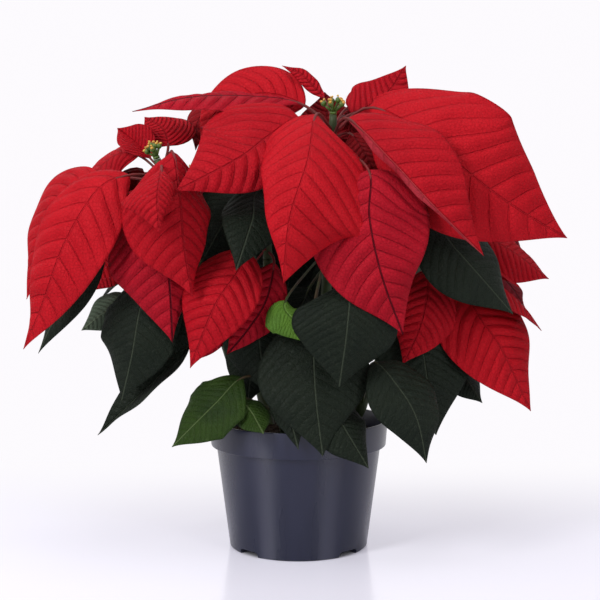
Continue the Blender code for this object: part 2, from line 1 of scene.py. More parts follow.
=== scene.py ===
"""Looks of the potted poinsettia: bracts, leaves, stems, flowers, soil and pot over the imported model.

Leaf and stem sizes are in millimetres, as in the part's source, and are scaled when a mesh is made.
"""

import json
import math

import bpy
import numpy as np
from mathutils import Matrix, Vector

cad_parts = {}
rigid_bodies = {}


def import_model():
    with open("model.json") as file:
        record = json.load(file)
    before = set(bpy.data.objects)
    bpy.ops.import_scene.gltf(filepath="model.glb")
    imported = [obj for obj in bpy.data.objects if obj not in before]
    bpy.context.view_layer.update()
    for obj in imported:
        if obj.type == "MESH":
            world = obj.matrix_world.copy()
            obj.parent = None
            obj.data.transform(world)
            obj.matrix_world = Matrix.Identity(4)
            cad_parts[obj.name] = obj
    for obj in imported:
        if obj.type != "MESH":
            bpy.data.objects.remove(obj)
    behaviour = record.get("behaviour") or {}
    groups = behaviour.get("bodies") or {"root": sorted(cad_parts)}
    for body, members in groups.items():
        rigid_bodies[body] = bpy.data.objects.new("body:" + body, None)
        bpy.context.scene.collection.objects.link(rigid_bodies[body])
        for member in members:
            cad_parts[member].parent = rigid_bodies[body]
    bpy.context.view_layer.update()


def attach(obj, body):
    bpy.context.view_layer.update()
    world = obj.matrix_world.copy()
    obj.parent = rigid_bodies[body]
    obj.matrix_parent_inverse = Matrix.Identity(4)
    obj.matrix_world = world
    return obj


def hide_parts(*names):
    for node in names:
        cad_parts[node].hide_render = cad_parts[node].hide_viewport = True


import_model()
STAGE = bpy.context.scene.collection
MM = 0.001

# Pot
RIM_RADIUS = 66.0
POT_HEIGHT = 94.0
COLLAR_HEIGHT = 19.0
COLLAR_FOOT_RADIUS = 64.5
BODY_TOP_RADIUS = 60.6
BODY_FOOT_RADIUS = 50.8
WALL = 1.5
FLOOR_THICKNESS = 1.8
DISC_RADIUS = 38.0
CHANNEL_OUTER_RADIUS = 47.0
CHANNEL_RISE = 5.0
POT_SIDES = 160
FEET = 4
NOTCH_WIDTH = 18.0
NOTCH_HEIGHT = 4.0
DRAIN_HOLES = 8
DRAIN_RADIUS = 3.6
CUTTER_EXCESS = 2.0
CORNER_STEPS = 4
SMOOTH_UP_TO = math.radians(50)
GAP = 0.3

# Soil
SOIL_TOP = 83.0
SOIL_CROWN = 3.0
SOIL_SIDES = 96
SOIL_RINGS = 30
ROOTING_DEPTH = 28.0
CRUMBS = 420
CRUMB_SIZES = (0.6, 2.2)
FIBRES = 60
FIBRE_LENGTHS = (2, 6)
FIBRE_RADIUS = 0.18

# Branches
STEM_RADIUS_LOW = 4.2
STEM_RADIUS_HIGH = 3.4
STEM_SIDES = 14
BRACTS_FROM = 0.9
HEAD_REACH = 4.5
HEAD_RADIUS = 2.6
ROUTE_STEPS = 60

# Swellings where leaves leave a stem: height, and length in steps of the route
NODE_SWELLING = 0.55
NODE_SPREAD = 1.2

# Leaves
LEAF_SPECULAR = 0.12
BLADE_THICKNESS = 0.5
EDGE_THINNING = 0.5
STALK_RADIUS = 1.15
RIB_TIP_RADIUS = 0.3
RIB_SIDES = 8
CAMBER = 15
GRID = 2.1
ROW_LIMITS = (20, 60)
HALF_COLUMN_LIMITS = (5, 18)
FLAT_BY_RIB = 7.0
WAVE = 0.9
WAVE_COUNTS = (2.2, 3.4)
FULLY_WAVED_LENGTH = 90.0
SMALLEST_HALF = 0.12
TAPER_POWER = 0.95
TIP_DRAW = 0.55

# Teeth of the edge: place along the blade, spread and size
LOBES = ((0.30, 0.05, 1.0), (0.55, 0.045, 0.8))

# Pairs of side veins, and how far the blade bulges between them
VEINS = {"bract": (11, 1.4), "leaf": (13, 0.4)}

# The camera's place in millimetres, its tilt below level in degrees, and its lens on a 36 mm sensor
EYE = np.array([1.1, -900.0, 246.0])
CAMERA_TILT = 4.1
LENS = 73.56

# Studio, in metres. The surround lights the plant less than it is bright to the camera
SURROUND = (0.98, 0.96, 0.99)
LIGHTING_SHARE = 0.22
MIRRORED_SHARE = 0.9
FLOOR_GLOW = (0.31, 0.3, 0.35)
PLANT_MIDDLE = (0.0, 0.0, 0.2)

# Half the floor's side in millimetres, and in metres where it turns into the surround: round the pot, behind
# it, and from where on it glows in mirrors only, which paints a reflection on the pot
FLOOR_SIZE = 6000.0
FLOOR_FADE = (0.25, 0.9)
FLOOR_FADE_BEHIND = (0.0, 0.3)
PAINTED_REFLECTION_FROM = (-0.045, 0.015)

# Soft lamps: place, width and height, and power
LAMPS = {
    "key": ((-0.95, -0.95, 0.9), (0.35, 0.9), 12),
    "fill": ((0.8, -1.05, 0.6), (0.3, 1.0), 3.8),
    "top": ((-0.1, -0.3, 1.6), (0.8, 0.8), 5),
}

# Painted highlights: upright streaks on the pot, painted as floor glow that only its mirror shows. How far to
# the side, as a share of its radius, half width in millimetres, and brightness
PAINTED_POT_HIGHLIGHTS = ((-0.47, 6.3, 2.4), (0.43, 7.5, 1.7))

# Routes of the branches from the soil to their heads
BRANCHES = {
    "front_tall": ((12, 2, 84), (20, 0, 180), (24.6, -18, 310.8)),
    "left": ((-32, -8, 84), (-62, -20, 180), (-97.7, -34, 278.8)),
    "right": ((38, -4, 84), (66, -8, 150), (103.9, -12, 219.8)),
    "front_low": ((-8, -34, 84), (-20, -30, 150), (-21.9, -32, 227.4)),
    "back": ((4, 30, 84), (8, 56, 190), (14, 84, 296)),
    "back_left": ((-22, 22, 84), (-48, 52, 180), (-84, 92, 268)),
    "back_right": ((26, 20, 84), (56, 46, 180), (96, 78, 262)),
}


def leaf(at, route, width, face, bend=(20, 20), curl=CAMBER, widest=0.42, base=0.75, share=(1, 1), teeth=0,
         tint="plain", rolled=False):
    """One leaf or bract.

    at: where along the branch it grows. route: the middle rib after that, as x and z where the line of
    sight meets the plant's middle plane, and how far in front of this plane. face: turn and tilt of its
    upper side. bend: how far its left and right halves fold back. share: how much of half the width
    each half has. tint: which of the colours of its kind it has; for bracts, the lighter and darker
    copies of the plain red are painted light and painted shade. rolled: whether its left half is
    rolled over and shows its lower side.
    """
    return dict(at=at, width=width, face=face, bend=bend, curl=curl, share=share, teeth=teeth, tint=tint,
                rolled=rolled, stalk=None, route=[seen_from_front(*point) for point in route],
                widest=both_halves(widest), base=both_halves(base))


def both_halves(value):
    """Left and right, where one value stands for both."""
    return value if isinstance(value, tuple) else (value, value)


def arching_leaf(at, turn, rise, length, width, droop=60):
    """A leaf that leaves its branch towards turn, rises, and droops along an arc."""
    made = leaf(at, (), width, (turn, 60), bend=(18, 18))
    made.update(arc=(turn, rise, droop, length), stalk=0.2)
    return made


def hanging_leaf(at, turn):
    """One of the large green leaves of the far branches."""
    return arching_leaf(at, turn, 18, 110, 62, droop=62)


def seen_from_front(x, z, out):
    """The point out millimetres in front of the middle plane, on the line of sight through x, z."""
    on_plane = np.array([x, 0.0, z])
    return EYE + (on_plane - EYE) * (EYE[1] + out) / EYE[1]


def aim(turn, tilt):
    """Unit vector: turn 0 is towards the front and 90 towards +X, and tilt is the angle above level."""
    turn, tilt = math.radians(turn), math.radians(tilt)
    return np.array([math.sin(turn) * math.cos(tilt), -math.cos(turn) * math.cos(tilt), math.sin(tilt)])


def smooth_route(points, steps=ROUTE_STEPS):
    """steps + 1 points evenly spaced along a smooth curve through the given points."""
    points = np.asarray(points, float)
    ends = np.vstack([2 * points[0] - points[1], points, 2 * points[-1] - points[-2]])
    fine = np.linspace(0, 1, 40, endpoint=False)[:, None]
    pieces = []
    for a, b, c, d in zip(ends, ends[1:], ends[2:], ends[3:]):
        bend = (2 * a - 5 * b + 4 * c - d) * fine**2 + (3 * b - 3 * c + d - a) * fine**3
        pieces.append(0.5 * (2 * b + (c - a) * fine + bend))
    dense = np.vstack(pieces + [points[-1:]])
    length = np.concatenate([[0], np.cumsum(np.linalg.norm(np.diff(dense, axis=0), axis=1))])
    return sample(dense, length, np.linspace(0, length[-1], steps + 1))


def sample(rows, places, wanted):
    """The rows, which lie at places, read between them where wanted."""
    return np.stack([np.interp(wanted, places, rows[:, k]) for k in range(rows.shape[1])], axis=1)


def unit(rows):
    return rows / np.maximum(np.linalg.norm(rows, axis=-1, keepdims=True), 1e-12)


def arc_points(root, turn, rise, droop, length, count=5):
    """Points along an arc from root that starts rise degrees up and ends droop degrees down."""
    points = [np.array(root)]
    for k in range(count):
        slope = rise - (droop + rise) * (k + 0.5) / count
        points.append(points[-1] + aim(turn, slope) * length / count)
    return points


# Bracts, branch by branch
BRACTS = {
    "front_tall": (
        # The long front bract, the one to its left and the two at the upper left
        leaf(0.97, ((13, 317, 42), (7, 284, 84), (-6, 242, 106), (-11, 194, 102)), 100, (4, 25),
             bend=(28, 28), curl=22, widest=(0.22, 0.52), base=(0.35, 0.75),
             share=(0.72, 1.4), tint="bright"),
        leaf(0.95, ((1, 314, 34), (-21, 302, 48), (-44, 285, 68), (-90, 261, 80)), 84, (-8, 20),
             bend=(14, 26), curl=20, widest=(0.34, 0.4), base=0.6, share=(1.12, 0.66)),
        leaf(0.96, ((5, 323, 5), (-25, 332, -6), (-56, 322, -4), (-72, 297, 2)), 52, (-20, 20),
             bend=(10, 30), tint="bright"),
        leaf(0.98, ((1, 325, 10), (-35, 330, 8), (-79, 329, 18), (-121, 319, 26)), 48, (0, 76),
             bend=(-8, 22), share=(0.35, 0.9), tint="crimson"),
        # The three large ones at the right
        leaf(0.93, ((51, 277, 64), (52, 242, 82), (61, 200, 88), (77, 156, 80)), 84, (0, 20),
             bend=(10, 10), widest=(0.38, 0.3), base=0.5, tint="crimson"),
        leaf(0.95, ((36, 314, 40), (67, 285, 78), (98, 252, 90), (136, 214, 86)), 80, (12, 15),
             bend=(62, 0), curl=14, widest=(0.3, 0.44), base=0.6, share=(0.14, 1), rolled=True),
        leaf(0.96, ((52, 322, 20), (92, 303, 54), (125, 274, 66), (161, 248, 58), (197, 227, 44)), 94,
             (5, 18), bend=(22, 4), widest=(0.44, 0.46), base=0.6, share=(1, 1.14), tint="bright"),
        # The small upright ones round the flowers
        leaf(0.99, ((38, 317, 8), (53, 324, 2), (67, 335, -4), (78, 352, -10)), 46, (10, 25), bend=(8, 20),
             widest=0.34),
        leaf(0.98, ((36, 322, -8), (60, 330, -16), (80, 332, -22)), 36, (10, 30)),
        leaf(1.0, ((19, 328, 4), (12, 336, 2), (2, 346, -2), (-12, 352, -8)), 12, (10, 20),
             bend=(10, 10)),
        # Ones behind the stalks of the large ones, in the darker red that paints the shade they sit in
        leaf(0.945, ((38, 303, 14), (50, 286, 30), (62, 262, 36)), 46, (10, 20), tint="painted_shade"),
        leaf(0.957, ((33, 316, -8), (46, 305, -14), (60, 290, -18)), 44, (10, 30), tint="painted_shade"),
        leaf(0.95, ((24, 300, 2), (21, 314, -14), (19, 333, -22)), 56, (0, 15), base=0.4, tint="painted_shade"),
        arching_leaf(0.94, 196, 14, 80, 50, droop=30),
        arching_leaf(0.925, 140, 6, 80, 50, droop=30),
    ),
    "left": (
        leaf(0.955, ((-123, 273, 46), (-147, 262, 62), (-172, 222, 68), (-190, 174, 60), (-203, 145, 50)),
             62, (-15, 30), bend=(12, 20), widest=0.38, base=0.6, tint="bright"),
        leaf(0.94, ((-145, 272, 20), (-173, 259, 8), (-188, 229, 0), (-200, 182, -8)), 54, (-30, 30),
             bend=(12, 15), widest=0.38, tint="bright"),
        leaf(0.99, ((-100, 278, 70), (-103, 258, 98), (-102, 231, 104)), 58, (-20, 15), bend=(6, 60),
             share=(1, 0.4)),
        leaf(0.97, ((-92, 290, 48), (-87, 258, 70), (-84, 222, 76), (-78, 184, 74)), 84, (-8, 15),
             bend=(2, 66), widest=(0.5, 0.42), share=(1, 0.8)),
        leaf(0.93, ((-107, 262, 46), (-100, 229, 60), (-95, 196, 62), (-93, 150, 54)), 84, (-10, 12),
             bend=(2, 55), widest=(0.45, 0.42), share=(1, 0.55), tint="crimson"),
        leaf(0.963, ((-116, 287, 22), (-132, 288, 14), (-149, 273, 8), (-160, 244, 6)), 46, (-30, 45)),
        leaf(0.983, ((-108, 285, 26), (-117, 295, 18), (-132, 307, 6)), 30, (-10, 40), bend=(-30, -30)),
        leaf(0.976, ((-95, 294, 18), (-99, 307, 8), (-112, 315, -2)), 50, (-5, 45)),
        # One behind the heart, in the darker red of painted shade, and one that shows under the two at the
        # left, in the lighter red of painted light
        leaf(0.947, ((-112, 274, 10), (-124, 260, 8), (-130, 236, 6)), 44, (-10, 20), tint="painted_shade"),
        leaf(0.935, ((-138, 222, -8), (-148, 204, -12), (-157, 187, -16)), 40, (-20, 20), tint="bright"),
        arching_leaf(0.95, 168, 30, 95, 62),
        arching_leaf(0.93, 216, 8, 95, 62),
    ),
    "right": (
        leaf(0.96, ((97, 205, 30), (94, 181, 40), (88, 158, 46), (77, 134, 48)), 52, (15, 20),
             bend=(30, 10)),
        leaf(0.95, ((121, 190, 14), (134, 168, 24), (150, 145, 28), (172, 99, 20)), 72, (20, 20),
             bend=(12, 12), widest=0.31, base=0.5, tint="bright"),
        leaf(0.97, ((133, 227, 0), (157, 217, -4), (184, 197, -12)), 50, (20, 45)),
        arching_leaf(0.95, 118, 8, 95, 60),
        arching_leaf(0.93, 84, -6, 95, 60),
    ),
    "front_low": (
        leaf(0.95, ((-35, 216, 48), (-46, 200, 60), (-62, 176, 72), (-80, 131, 70)), 58, (-12, 20),
             bend=(15, 15), widest=(0.35, 0.4), base=(0.3, 0.6), share=(1.1, 0.85)),
        leaf(0.94, ((-18, 209, 44), (-24, 181, 50), (-38, 159, 53), (-53, 141, 53)), 52, (5, 15),
             share=(1, 0.6), tint="crimson"),
        leaf(0.96, ((-36, 203, 31), (-49, 174, 30), (-64, 148, 28), (-78, 136, 26)), 20, (0, 30),
             tint="crimson"),
    ),
    "back": (
        # A bract in the darker red that paints the shade at the back
        leaf(0.96, ((-35, 324, -50), (-56, 329, -30), (-72, 314, -14), (-75, 291, -6)), 36, (-20, 30),
             tint="painted_shade"),
        arching_leaf(0.98, 180, 35, 125, 70),
        arching_leaf(0.94, 144, 4, 120, 70),
        arching_leaf(0.953, 216, 12, 120, 70),
        arching_leaf(0.97, 112, 42, 85, 70),
        arching_leaf(0.962, 248, 42, 85, 70),
    ),
    "back_left": (
        arching_leaf(0.94, 196, 0, 110, 70),
        arching_leaf(0.98, 222, 40, 115, 70),
        arching_leaf(0.953, 248, 16, 115, 70),
        arching_leaf(0.967, 276, 44, 100, 70),
        arching_leaf(0.927, 300, 0, 90, 70),
    ),
    "back_right": (
        arching_leaf(0.94, 164, 0, 110, 70),
        arching_leaf(0.98, 138, 40, 115, 70),
        arching_leaf(0.953, 112, 16, 115, 70),
        arching_leaf(0.967, 86, 44, 100, 70),
        arching_leaf(0.927, 60, 0, 90, 70),
    ),
}

# Green leaves, branch by branch
LEAVES = {
    "front_tall": (
        # The small young leaf, the two large front ones, the two in the gap at the left, the right one
        leaf(0.6, ((-9, 182, 52), (-3, 166, 66), (5, 150, 70)), 34, (10, 20), teeth=2, tint="young"),
        leaf(0.62, ((11, 173, 46), (11, 139, 62), (13, 106, 74), (18, 65, 78)), 80, (0, 20), bend=(12, 12)),
        leaf(0.75, ((36, 195, 74), (36, 163, 88), (30, 117, 84)), 76, (15, 15), bend=(25, 8)),
        leaf(0.8, ((-27, 262, 12), (-50, 245, 18), (-72, 208, 12)), 66, (-10, 20)),
        leaf(0.88, ((-27, 264, 30), (-34, 240, 60), (-46, 203, 74)), 44, (5, 15), bend=(10, 10)),
        leaf(0.85, ((90, 245, 32), (119, 215, 46), (158, 171, 44)), 62, (20, 25), bend=(12, 12)),
        # Two behind the stem, which close the middle of the plant
        leaf(0.72, ((30, 228, -14), (38, 195, -22), (42, 150, -24)), 60, (10, 12), bend=(4, 4)),
        leaf(0.55, ((8, 190, -14), (-4, 160, -20), (-12, 118, -22)), 60, (-10, 12), bend=(4, 4)),
    ),
    "left": (
        leaf(0.8, ((-138, 229, 20), (-162, 196, 26), (-182, 163, 26), (-192, 142, 20)), 31, (-30, 20)),
        leaf(0.6, ((-117, 181, -10), (-137, 176, -12), (-160, 159, -14)), 36, (30, 40), tint="pale"),
        leaf(0.75, ((-109, 200, 36), (-117, 174, 46), (-123, 141, 50), (-131, 107, 42)), 58, (-12, 15),
             bend=(15, 15), teeth=1.5),
        leaf(0.5, ((-79, 150, 22), (-110, 118, 28), (-149, 81, 26)), 34, (0, 65), bend=(-35, -20)),
        leaf(0.55, ((-82, 178, 18), (-88, 160, 22), (-96, 138, 24)), 28, (-10, 20)),
    ),
    "front_low": (
        leaf(0.3, ((-41, 124, 46), (-62, 104, 54), (-94, 72, 52)), 46, (-15, 40), bend=(8, 8), teeth=2,
             tint="mid"),
        leaf(0.8, ((-21, 181, 40), (-29, 156, 44), (-24, 112, 47)), 56, (-15, 12), bend=(8, 40)),
        leaf(0.35, ((20, 109, 56), (34, 86, 72), (52, 56, 74)), 40, (12, 30)),
        leaf(0.4, ((-19, 118, 48), (-9, 101, 67), (0, 70, 73)), 24, (-10, 30)),
        leaf(0.62, ((-27, 162, 24), (-33, 144, 29), (-38, 104, 30)), 42, (-10, 12), bend=(8, 8)),
        leaf(0.12, ((-40, 109, 50), (-33, 95, 62), (-26, 82, 76)), 26, (0, 40), tint="mid"),
    ),
    "right": (
        leaf(0.8, ((88, 173, 24), (93, 137, 38), (102, 81, 46)), 68, (8, 15), bend=(12, 12), teeth=2),
        leaf(0.15, ((55, 135, 56), (75, 115, 74), (88, 92, 82), (95, 60, 80)), 50, (15, 30), bend=(12, 12)),
        leaf(0.4, ((113, 137, 2), (125, 122, 8), (136, 105, 8)), 30, (20, 30)),
    ),
    "back": (
        hanging_leaf(0.74, 160),
        hanging_leaf(0.66, 200),
        # Large ones that hang towards the front and close the gaps among the stems
        leaf(0.86, ((4, 262, -46), (-4, 226, -42), (-10, 172, -40)), 60, (0, 10), bend=(4, 4)),
        leaf(0.82, ((36, 262, -44), (50, 225, -40), (58, 182, -38)), 60, (0, 10), bend=(4, 4)),
    ),
    "back_left": (
        hanging_leaf(0.74, 212),
        hanging_leaf(0.66, 246),
        hanging_leaf(0.70, 278),
    ),
    "back_right": (
        hanging_leaf(0.74, 150),
        hanging_leaf(0.66, 122),
        hanging_leaf(0.70, 94),
    ),
}

# Flowers in the heart of each head: how many, and how far they stand out from its middle
FLOWERS = {
    "front_tall": (6, 7.0),
    "left": (5, 4.5),
    "right": (4, 4.5),
    "front_low": (4, 4.5),
    "back": (3, 5.0),
    "back_left": (3, 5.0),
    "back_right": (3, 5.0),
}
BUD_RADIUS = 2.1
BUD_STALK = 7.0
BUD_STALK_RADIUS = 0.9
MIDDLE_BUD_LIFT = 2.0
INNER_CUPS = 3
FLOWER_BASE_RADIUS = 2.4
FLOWER_BASE_HEIGHT = 2.0
CUP_SIDES = 12
GLAND_RADII = (1.6, 1.0, 1.25)
POLLEN_RADII = (0.5, 0.5, 0.42)
BALL_RINGS = 6
BALL_SIDES = 8
STAMENS = 7
STAMEN_RADIUS = 0.16

# Rings of a flower's cup from its stalk up: height and radius, as shares of BUD_RADIUS
CUP_RINGS = ((-0.75, 0.2), (-0.6, 0.55), (-0.2, 0.9), (0.3, 1.0), (0.8, 0.85), (1.1, 0.6), (1.2, 0.45),
             (1.05, 0.3))


class Skin:
    """Collects points, faces, their materials and leaf coordinates, and makes one mesh of them."""

    def __init__(self, name, materials):
        self.name = name
        self.materials = list(materials)
        self.points, self.faces, self.kinds, self.marks = [], [], [], []
        self.count = 0

    def add(self, points, faces, kind, marks=None):
        """points in millimetres; kind is a material's name; marks are two pairs of coordinates a point."""
        points = np.asarray(points, float).reshape(-1, 3)
        if marks is None:
            marks = np.zeros((len(points), 4))
        self.points.append(points)
        self.faces += [tuple(int(i) + self.count for i in face) for face in faces]
        self.kinds += [self.materials.index(kind)] * len(faces)
        self.marks.append(np.asarray(marks, float).reshape(-1, 4))
        self.count += len(points)

    def add_tube(self, route, radii, sides, kind):
        """A closed tube along a route."""
        self.add(tube_points(route, radii, sides), ring_faces(len(route), sides), kind)

    def make(self, slot, *replaced):
        """The finished object, riding with the part in place of the replaced nodes."""
        mesh = bpy.data.meshes.new(self.name)
        mesh.from_pydata((np.vstack(self.points) * MM).tolist(), [], self.faces)
        mesh.polygons.foreach_set("material_index", self.kinds)
        corners = np.empty(len(mesh.loops), np.int32)
        mesh.loops.foreach_get("vertex_index", corners)
        marks = np.vstack(self.marks)[corners]
        for name, pair in (("blade", marks[:, :2]), ("veins", marks[:, 2:])):
            mesh.uv_layers.new(name=name).data.foreach_set("uv", pair.ravel())
        for kind in self.materials:
            mesh.materials.append(MATERIALS[kind])
        mesh.shade_smooth()
        made = bpy.data.objects.new(self.name, mesh)
        STAGE.objects.link(made)
        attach(made, "root")
        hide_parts(*replaced)
        return made


def ring_faces(rows, sides):
    """Quads of a closed tube of rows rings, with a face on each end."""
    faces = []
    for row in range(rows - 1):
        for k in range(sides):
            a, b = row * sides + k, row * sides + (k + 1) % sides
            faces.append((a, b, b + sides, a + sides))
    last = (rows - 1) * sides
    faces.append(tuple(range(sides))[::-1])
    faces.append(tuple(last + k for k in range(sides)))
    return faces


def tube_points(route, radii, sides):
    """Rings of points round the route."""
    route = np.asarray(route, float)
    along = unit(np.gradient(route, axis=0))
    side = unit(np.array([1.0, 0, 0]) - along[:, :1] * along)
    other = np.cross(along, side)
    angle = math.tau * np.arange(sides) / sides
    radius = np.broadcast_to(radii, len(route))[:, None, None]
    ring = side[:, None] * np.cos(angle)[:, None] + other[:, None] * np.sin(angle)[:, None]
    return (route[:, None] + radius * ring).reshape(-1, 3)


def half_width(along, widest, base):
    """Share of the half width at each place along a blade: round at the base, drawn out to a point."""
    rise = np.sin(math.pi / 2 * np.clip(along / widest, 0, 1)) ** base
    fall = np.clip((along - widest) / (1 - widest), 0, 1)
    taper = np.clip(np.cos(math.pi / 2 * fall), 0, 1) ** TAPER_POWER * (1 - TIP_DRAW * fall**3)
    return np.where(along < widest, rise, taper)


def leaf_frame(spec, root):
    """Middle rib, its facing side and its sideways direction at even steps, and where the blade begins."""
    if "arc" in spec:
        points = arc_points(root, *spec["arc"])
    else:
        points = [root] + spec["route"]
    stalk = spec["stalk"]
    if stalk is None:
        lengths = np.linalg.norm(np.diff(points, axis=0), axis=1)
        stalk = lengths[0] / lengths.sum()
    middle = smooth_route(points)
    along = unit(np.gradient(middle, axis=0))
    face = aim(*spec["face"])
    normal = unit(face - (along @ face)[:, None] * along)
    return middle, normal, np.cross(normal, along), stalk


def blade_sheet(spec, root, seed, pairs, quilt):
    """Points of the blade's middle surface, its normals, and the leaf coordinates of each point.

    pairs: how many pairs of side veins. quilt: how far it bulges between them.
    """
    rng = np.random.default_rng(seed)
    middle, normal, side, stalk = leaf_frame(spec, root)
    length = np.linalg.norm(np.diff(middle, axis=0), axis=1).sum() * (1 - stalk)
    rows = int(np.clip(length / GRID, *ROW_LIMITS))
    half_columns = int(np.clip(spec["width"] / 2 / GRID, *HALF_COLUMN_LIMITS))
    along = np.linspace(0, 1, rows + 1)
    across = np.linspace(-1, 1, 2 * half_columns + 1)
    places = np.arange(ROUTE_STEPS + 1) / ROUTE_STEPS
    wanted = stalk + (1 - stalk) * along
    middle_at, normal_at, side_at = (sample(r, places, wanted) for r in (middle, normal, side))
    lobes = sum(depth * np.exp(-(((along - place) / spread) ** 2)) for place, spread, depth in LOBES)
    sheet = np.zeros((rows + 1, len(across), 3))
    reach_mm = np.zeros((rows + 1, len(across)))
    for column, v in enumerate(across):
        right = int(v > 0)
        widest = spec["share"][right] * spec["width"] / 2
        half = widest * half_width(along, spec["widest"][right], spec["base"][right])
        half = np.maximum(half + spec["teeth"] * lobes, SMALLEST_HALF)
        start = math.radians(spec["bend"][right] - spec["curl"] / 2)
        curl = math.radians(spec["curl"])
        level = (math.sin(start + curl * abs(v)) - math.sin(start)) / curl * np.sign(v)
        drop = (math.cos(start) - math.cos(start + curl * abs(v))) / curl
        sheet[:, column] = middle_at + side_at * (level * half)[:, None] - normal_at * (drop * half)[:, None]
        reach_mm[:, column] = v * half
    phase = along[:, None] - (0.5 + 0.3 * np.abs(across)) * np.abs(reach_mm) / length
    phase = pairs * phase + rng.uniform(0, 1)
    up = unit(np.cross(np.gradient(sheet, axis=0), np.gradient(sheet, axis=1)))
    centre = (rows // 2, half_columns)
    if up[centre] @ normal_at[rows // 2] < 0:
        up = -up
    relief = blade_relief(along, across, reach_mm, phase, length, quilt, rng)
    marks = np.stack(np.broadcast_arrays(along[:, None], (across + 1) / 2, phase, reach_mm / 100), axis=-1)
    return sheet + up * relief[..., None], up, marks


def blade_relief(along, across, reach_mm, phase, length, quilt, rng):
    """How far each point stands off the plain bent blade: bulges between the veins and a waved edge."""
    near_rib = np.clip(np.abs(reach_mm) / FLAT_BY_RIB, 0, 1)
    fold = np.abs(np.sin(math.pi * phase)) ** 0.8 + 0.3 * np.sin(math.tau * phase)
    bulge = quilt * fold * near_rib * (1 - np.abs(across) ** 3)
    waves = np.zeros((len(along), len(across)))
    for right in (0, 1):
        turns, start = rng.uniform(*WAVE_COUNTS), rng.uniform(0, math.tau)
        one_side = (across > 0) == bool(right)
        waves += one_side * np.sin(math.tau * turns * along[:, None] + start)
    size = WAVE * min(1.0, length / FULLY_WAVED_LENGTH)
    ends = np.sin(math.pi * np.clip(along, 0, 1))[:, None] ** 0.5
    return (bulge + size * waves * np.abs(across) ** 2.5) * ends


def grow_leaf(skin, spec, root, seed, kind):
    """Adds one leaf: its blade as a thin closed solid, and its stalk, which runs on under it as its rib."""
    # Some bract tints are lighter and darker copies of the plain red, which paint light and shade on them
    upper, lower = kind + "_" + spec["tint"], kind + "_under"
    sheet, up, marks = blade_sheet(spec, root, seed, *VEINS[kind])
    rows, columns = sheet.shape[:2]
    edge = np.abs(marks[..., 1] * 2 - 1)
    thick = BLADE_THICKNESS * (1 - EDGE_THINNING * edge**4)[..., None]
    top, bottom = sheet + up * thick / 2, sheet - up * thick / 2
    index = np.arange(rows * columns).reshape(rows, columns)
    quads = np.stack([index[:-1, :-1], index[:-1, 1:], index[1:, 1:], index[1:, :-1]], axis=-1).reshape(-1, 4)
    flip = np.cross(sheet[1, 1] - sheet[1, 0], sheet[2, 0] - sheet[1, 0]) @ up[1, 0] < 0
    face_up = quads[:, ::-1] if flip else quads
    both = np.concatenate([top.reshape(-1, 3), bottom.reshape(-1, 3)])
    both_marks = np.concatenate([marks.reshape(-1, 4)] * 2)
    below = face_up[:, ::-1] + rows * columns
    loop = np.concatenate([index[0, :-1], index[:-1, -1], index[-1, :0:-1], index[:0:-1, 0]])
    nxt = np.roll(loop, -1)
    rim = np.stack([loop, nxt, nxt + rows * columns, loop + rows * columns], axis=-1)
    if not flip:
        rim = rim[:, ::-1]
    start, first = skin.count, len(skin.kinds)
    skin.add(both, list(map(tuple, face_up)), upper, both_marks)
    if spec["rolled"]:
        for k in range(len(face_up)):
            if k % (columns - 1) < columns // 2:
                skin.kinds[first + k] = skin.materials.index(lower)
    skin.faces += [tuple(int(i) + start for i in face) for face in np.concatenate([below, rim])]
    skin.kinds += [skin.materials.index(lower)] * (len(below) + len(rim))
    add_rib(skin, spec, root, kind + "_stalk")


def add_rib(skin, spec, root, kind):
    """The stalk and the rib under the blade, thinning out to the tip."""
    middle, normal, _, stalk = leaf_frame(spec, root)
    places = np.arange(ROUTE_STEPS + 1) / ROUTE_STEPS
    beyond = np.clip((places - stalk) / (1 - stalk), 0, 1)
    # Narrow leaves have a thinner rib, which sinks under the blade just past its start
    size = min(1.0, 0.55 + spec["width"] / 160)
    radii = size * (STALK_RADIUS + (RIB_TIP_RADIUS - STALK_RADIUS) * beyond**0.7)
    sunk = np.clip(beyond * 8, 0, 1)[:, None] * (radii[:, None] + 0.05)
    path = (middle - normal * sunk)[: ROUTE_STEPS - 1 : 2]
    radii = radii[: ROUTE_STEPS - 1 : 2]
    skin.add_tube(path, radii, RIB_SIDES, kind)


def grow_all(skin, specs, route, seed, kind):
    """Adds all leaves of one kind, leaf or bract, to a branch."""
    places = np.linspace(0, 1, len(route))
    for k, spec in enumerate(specs):
        root = sample(route, places, [spec["at"]])[0]
        grow_leaf(skin, spec, root, seed + k, kind)


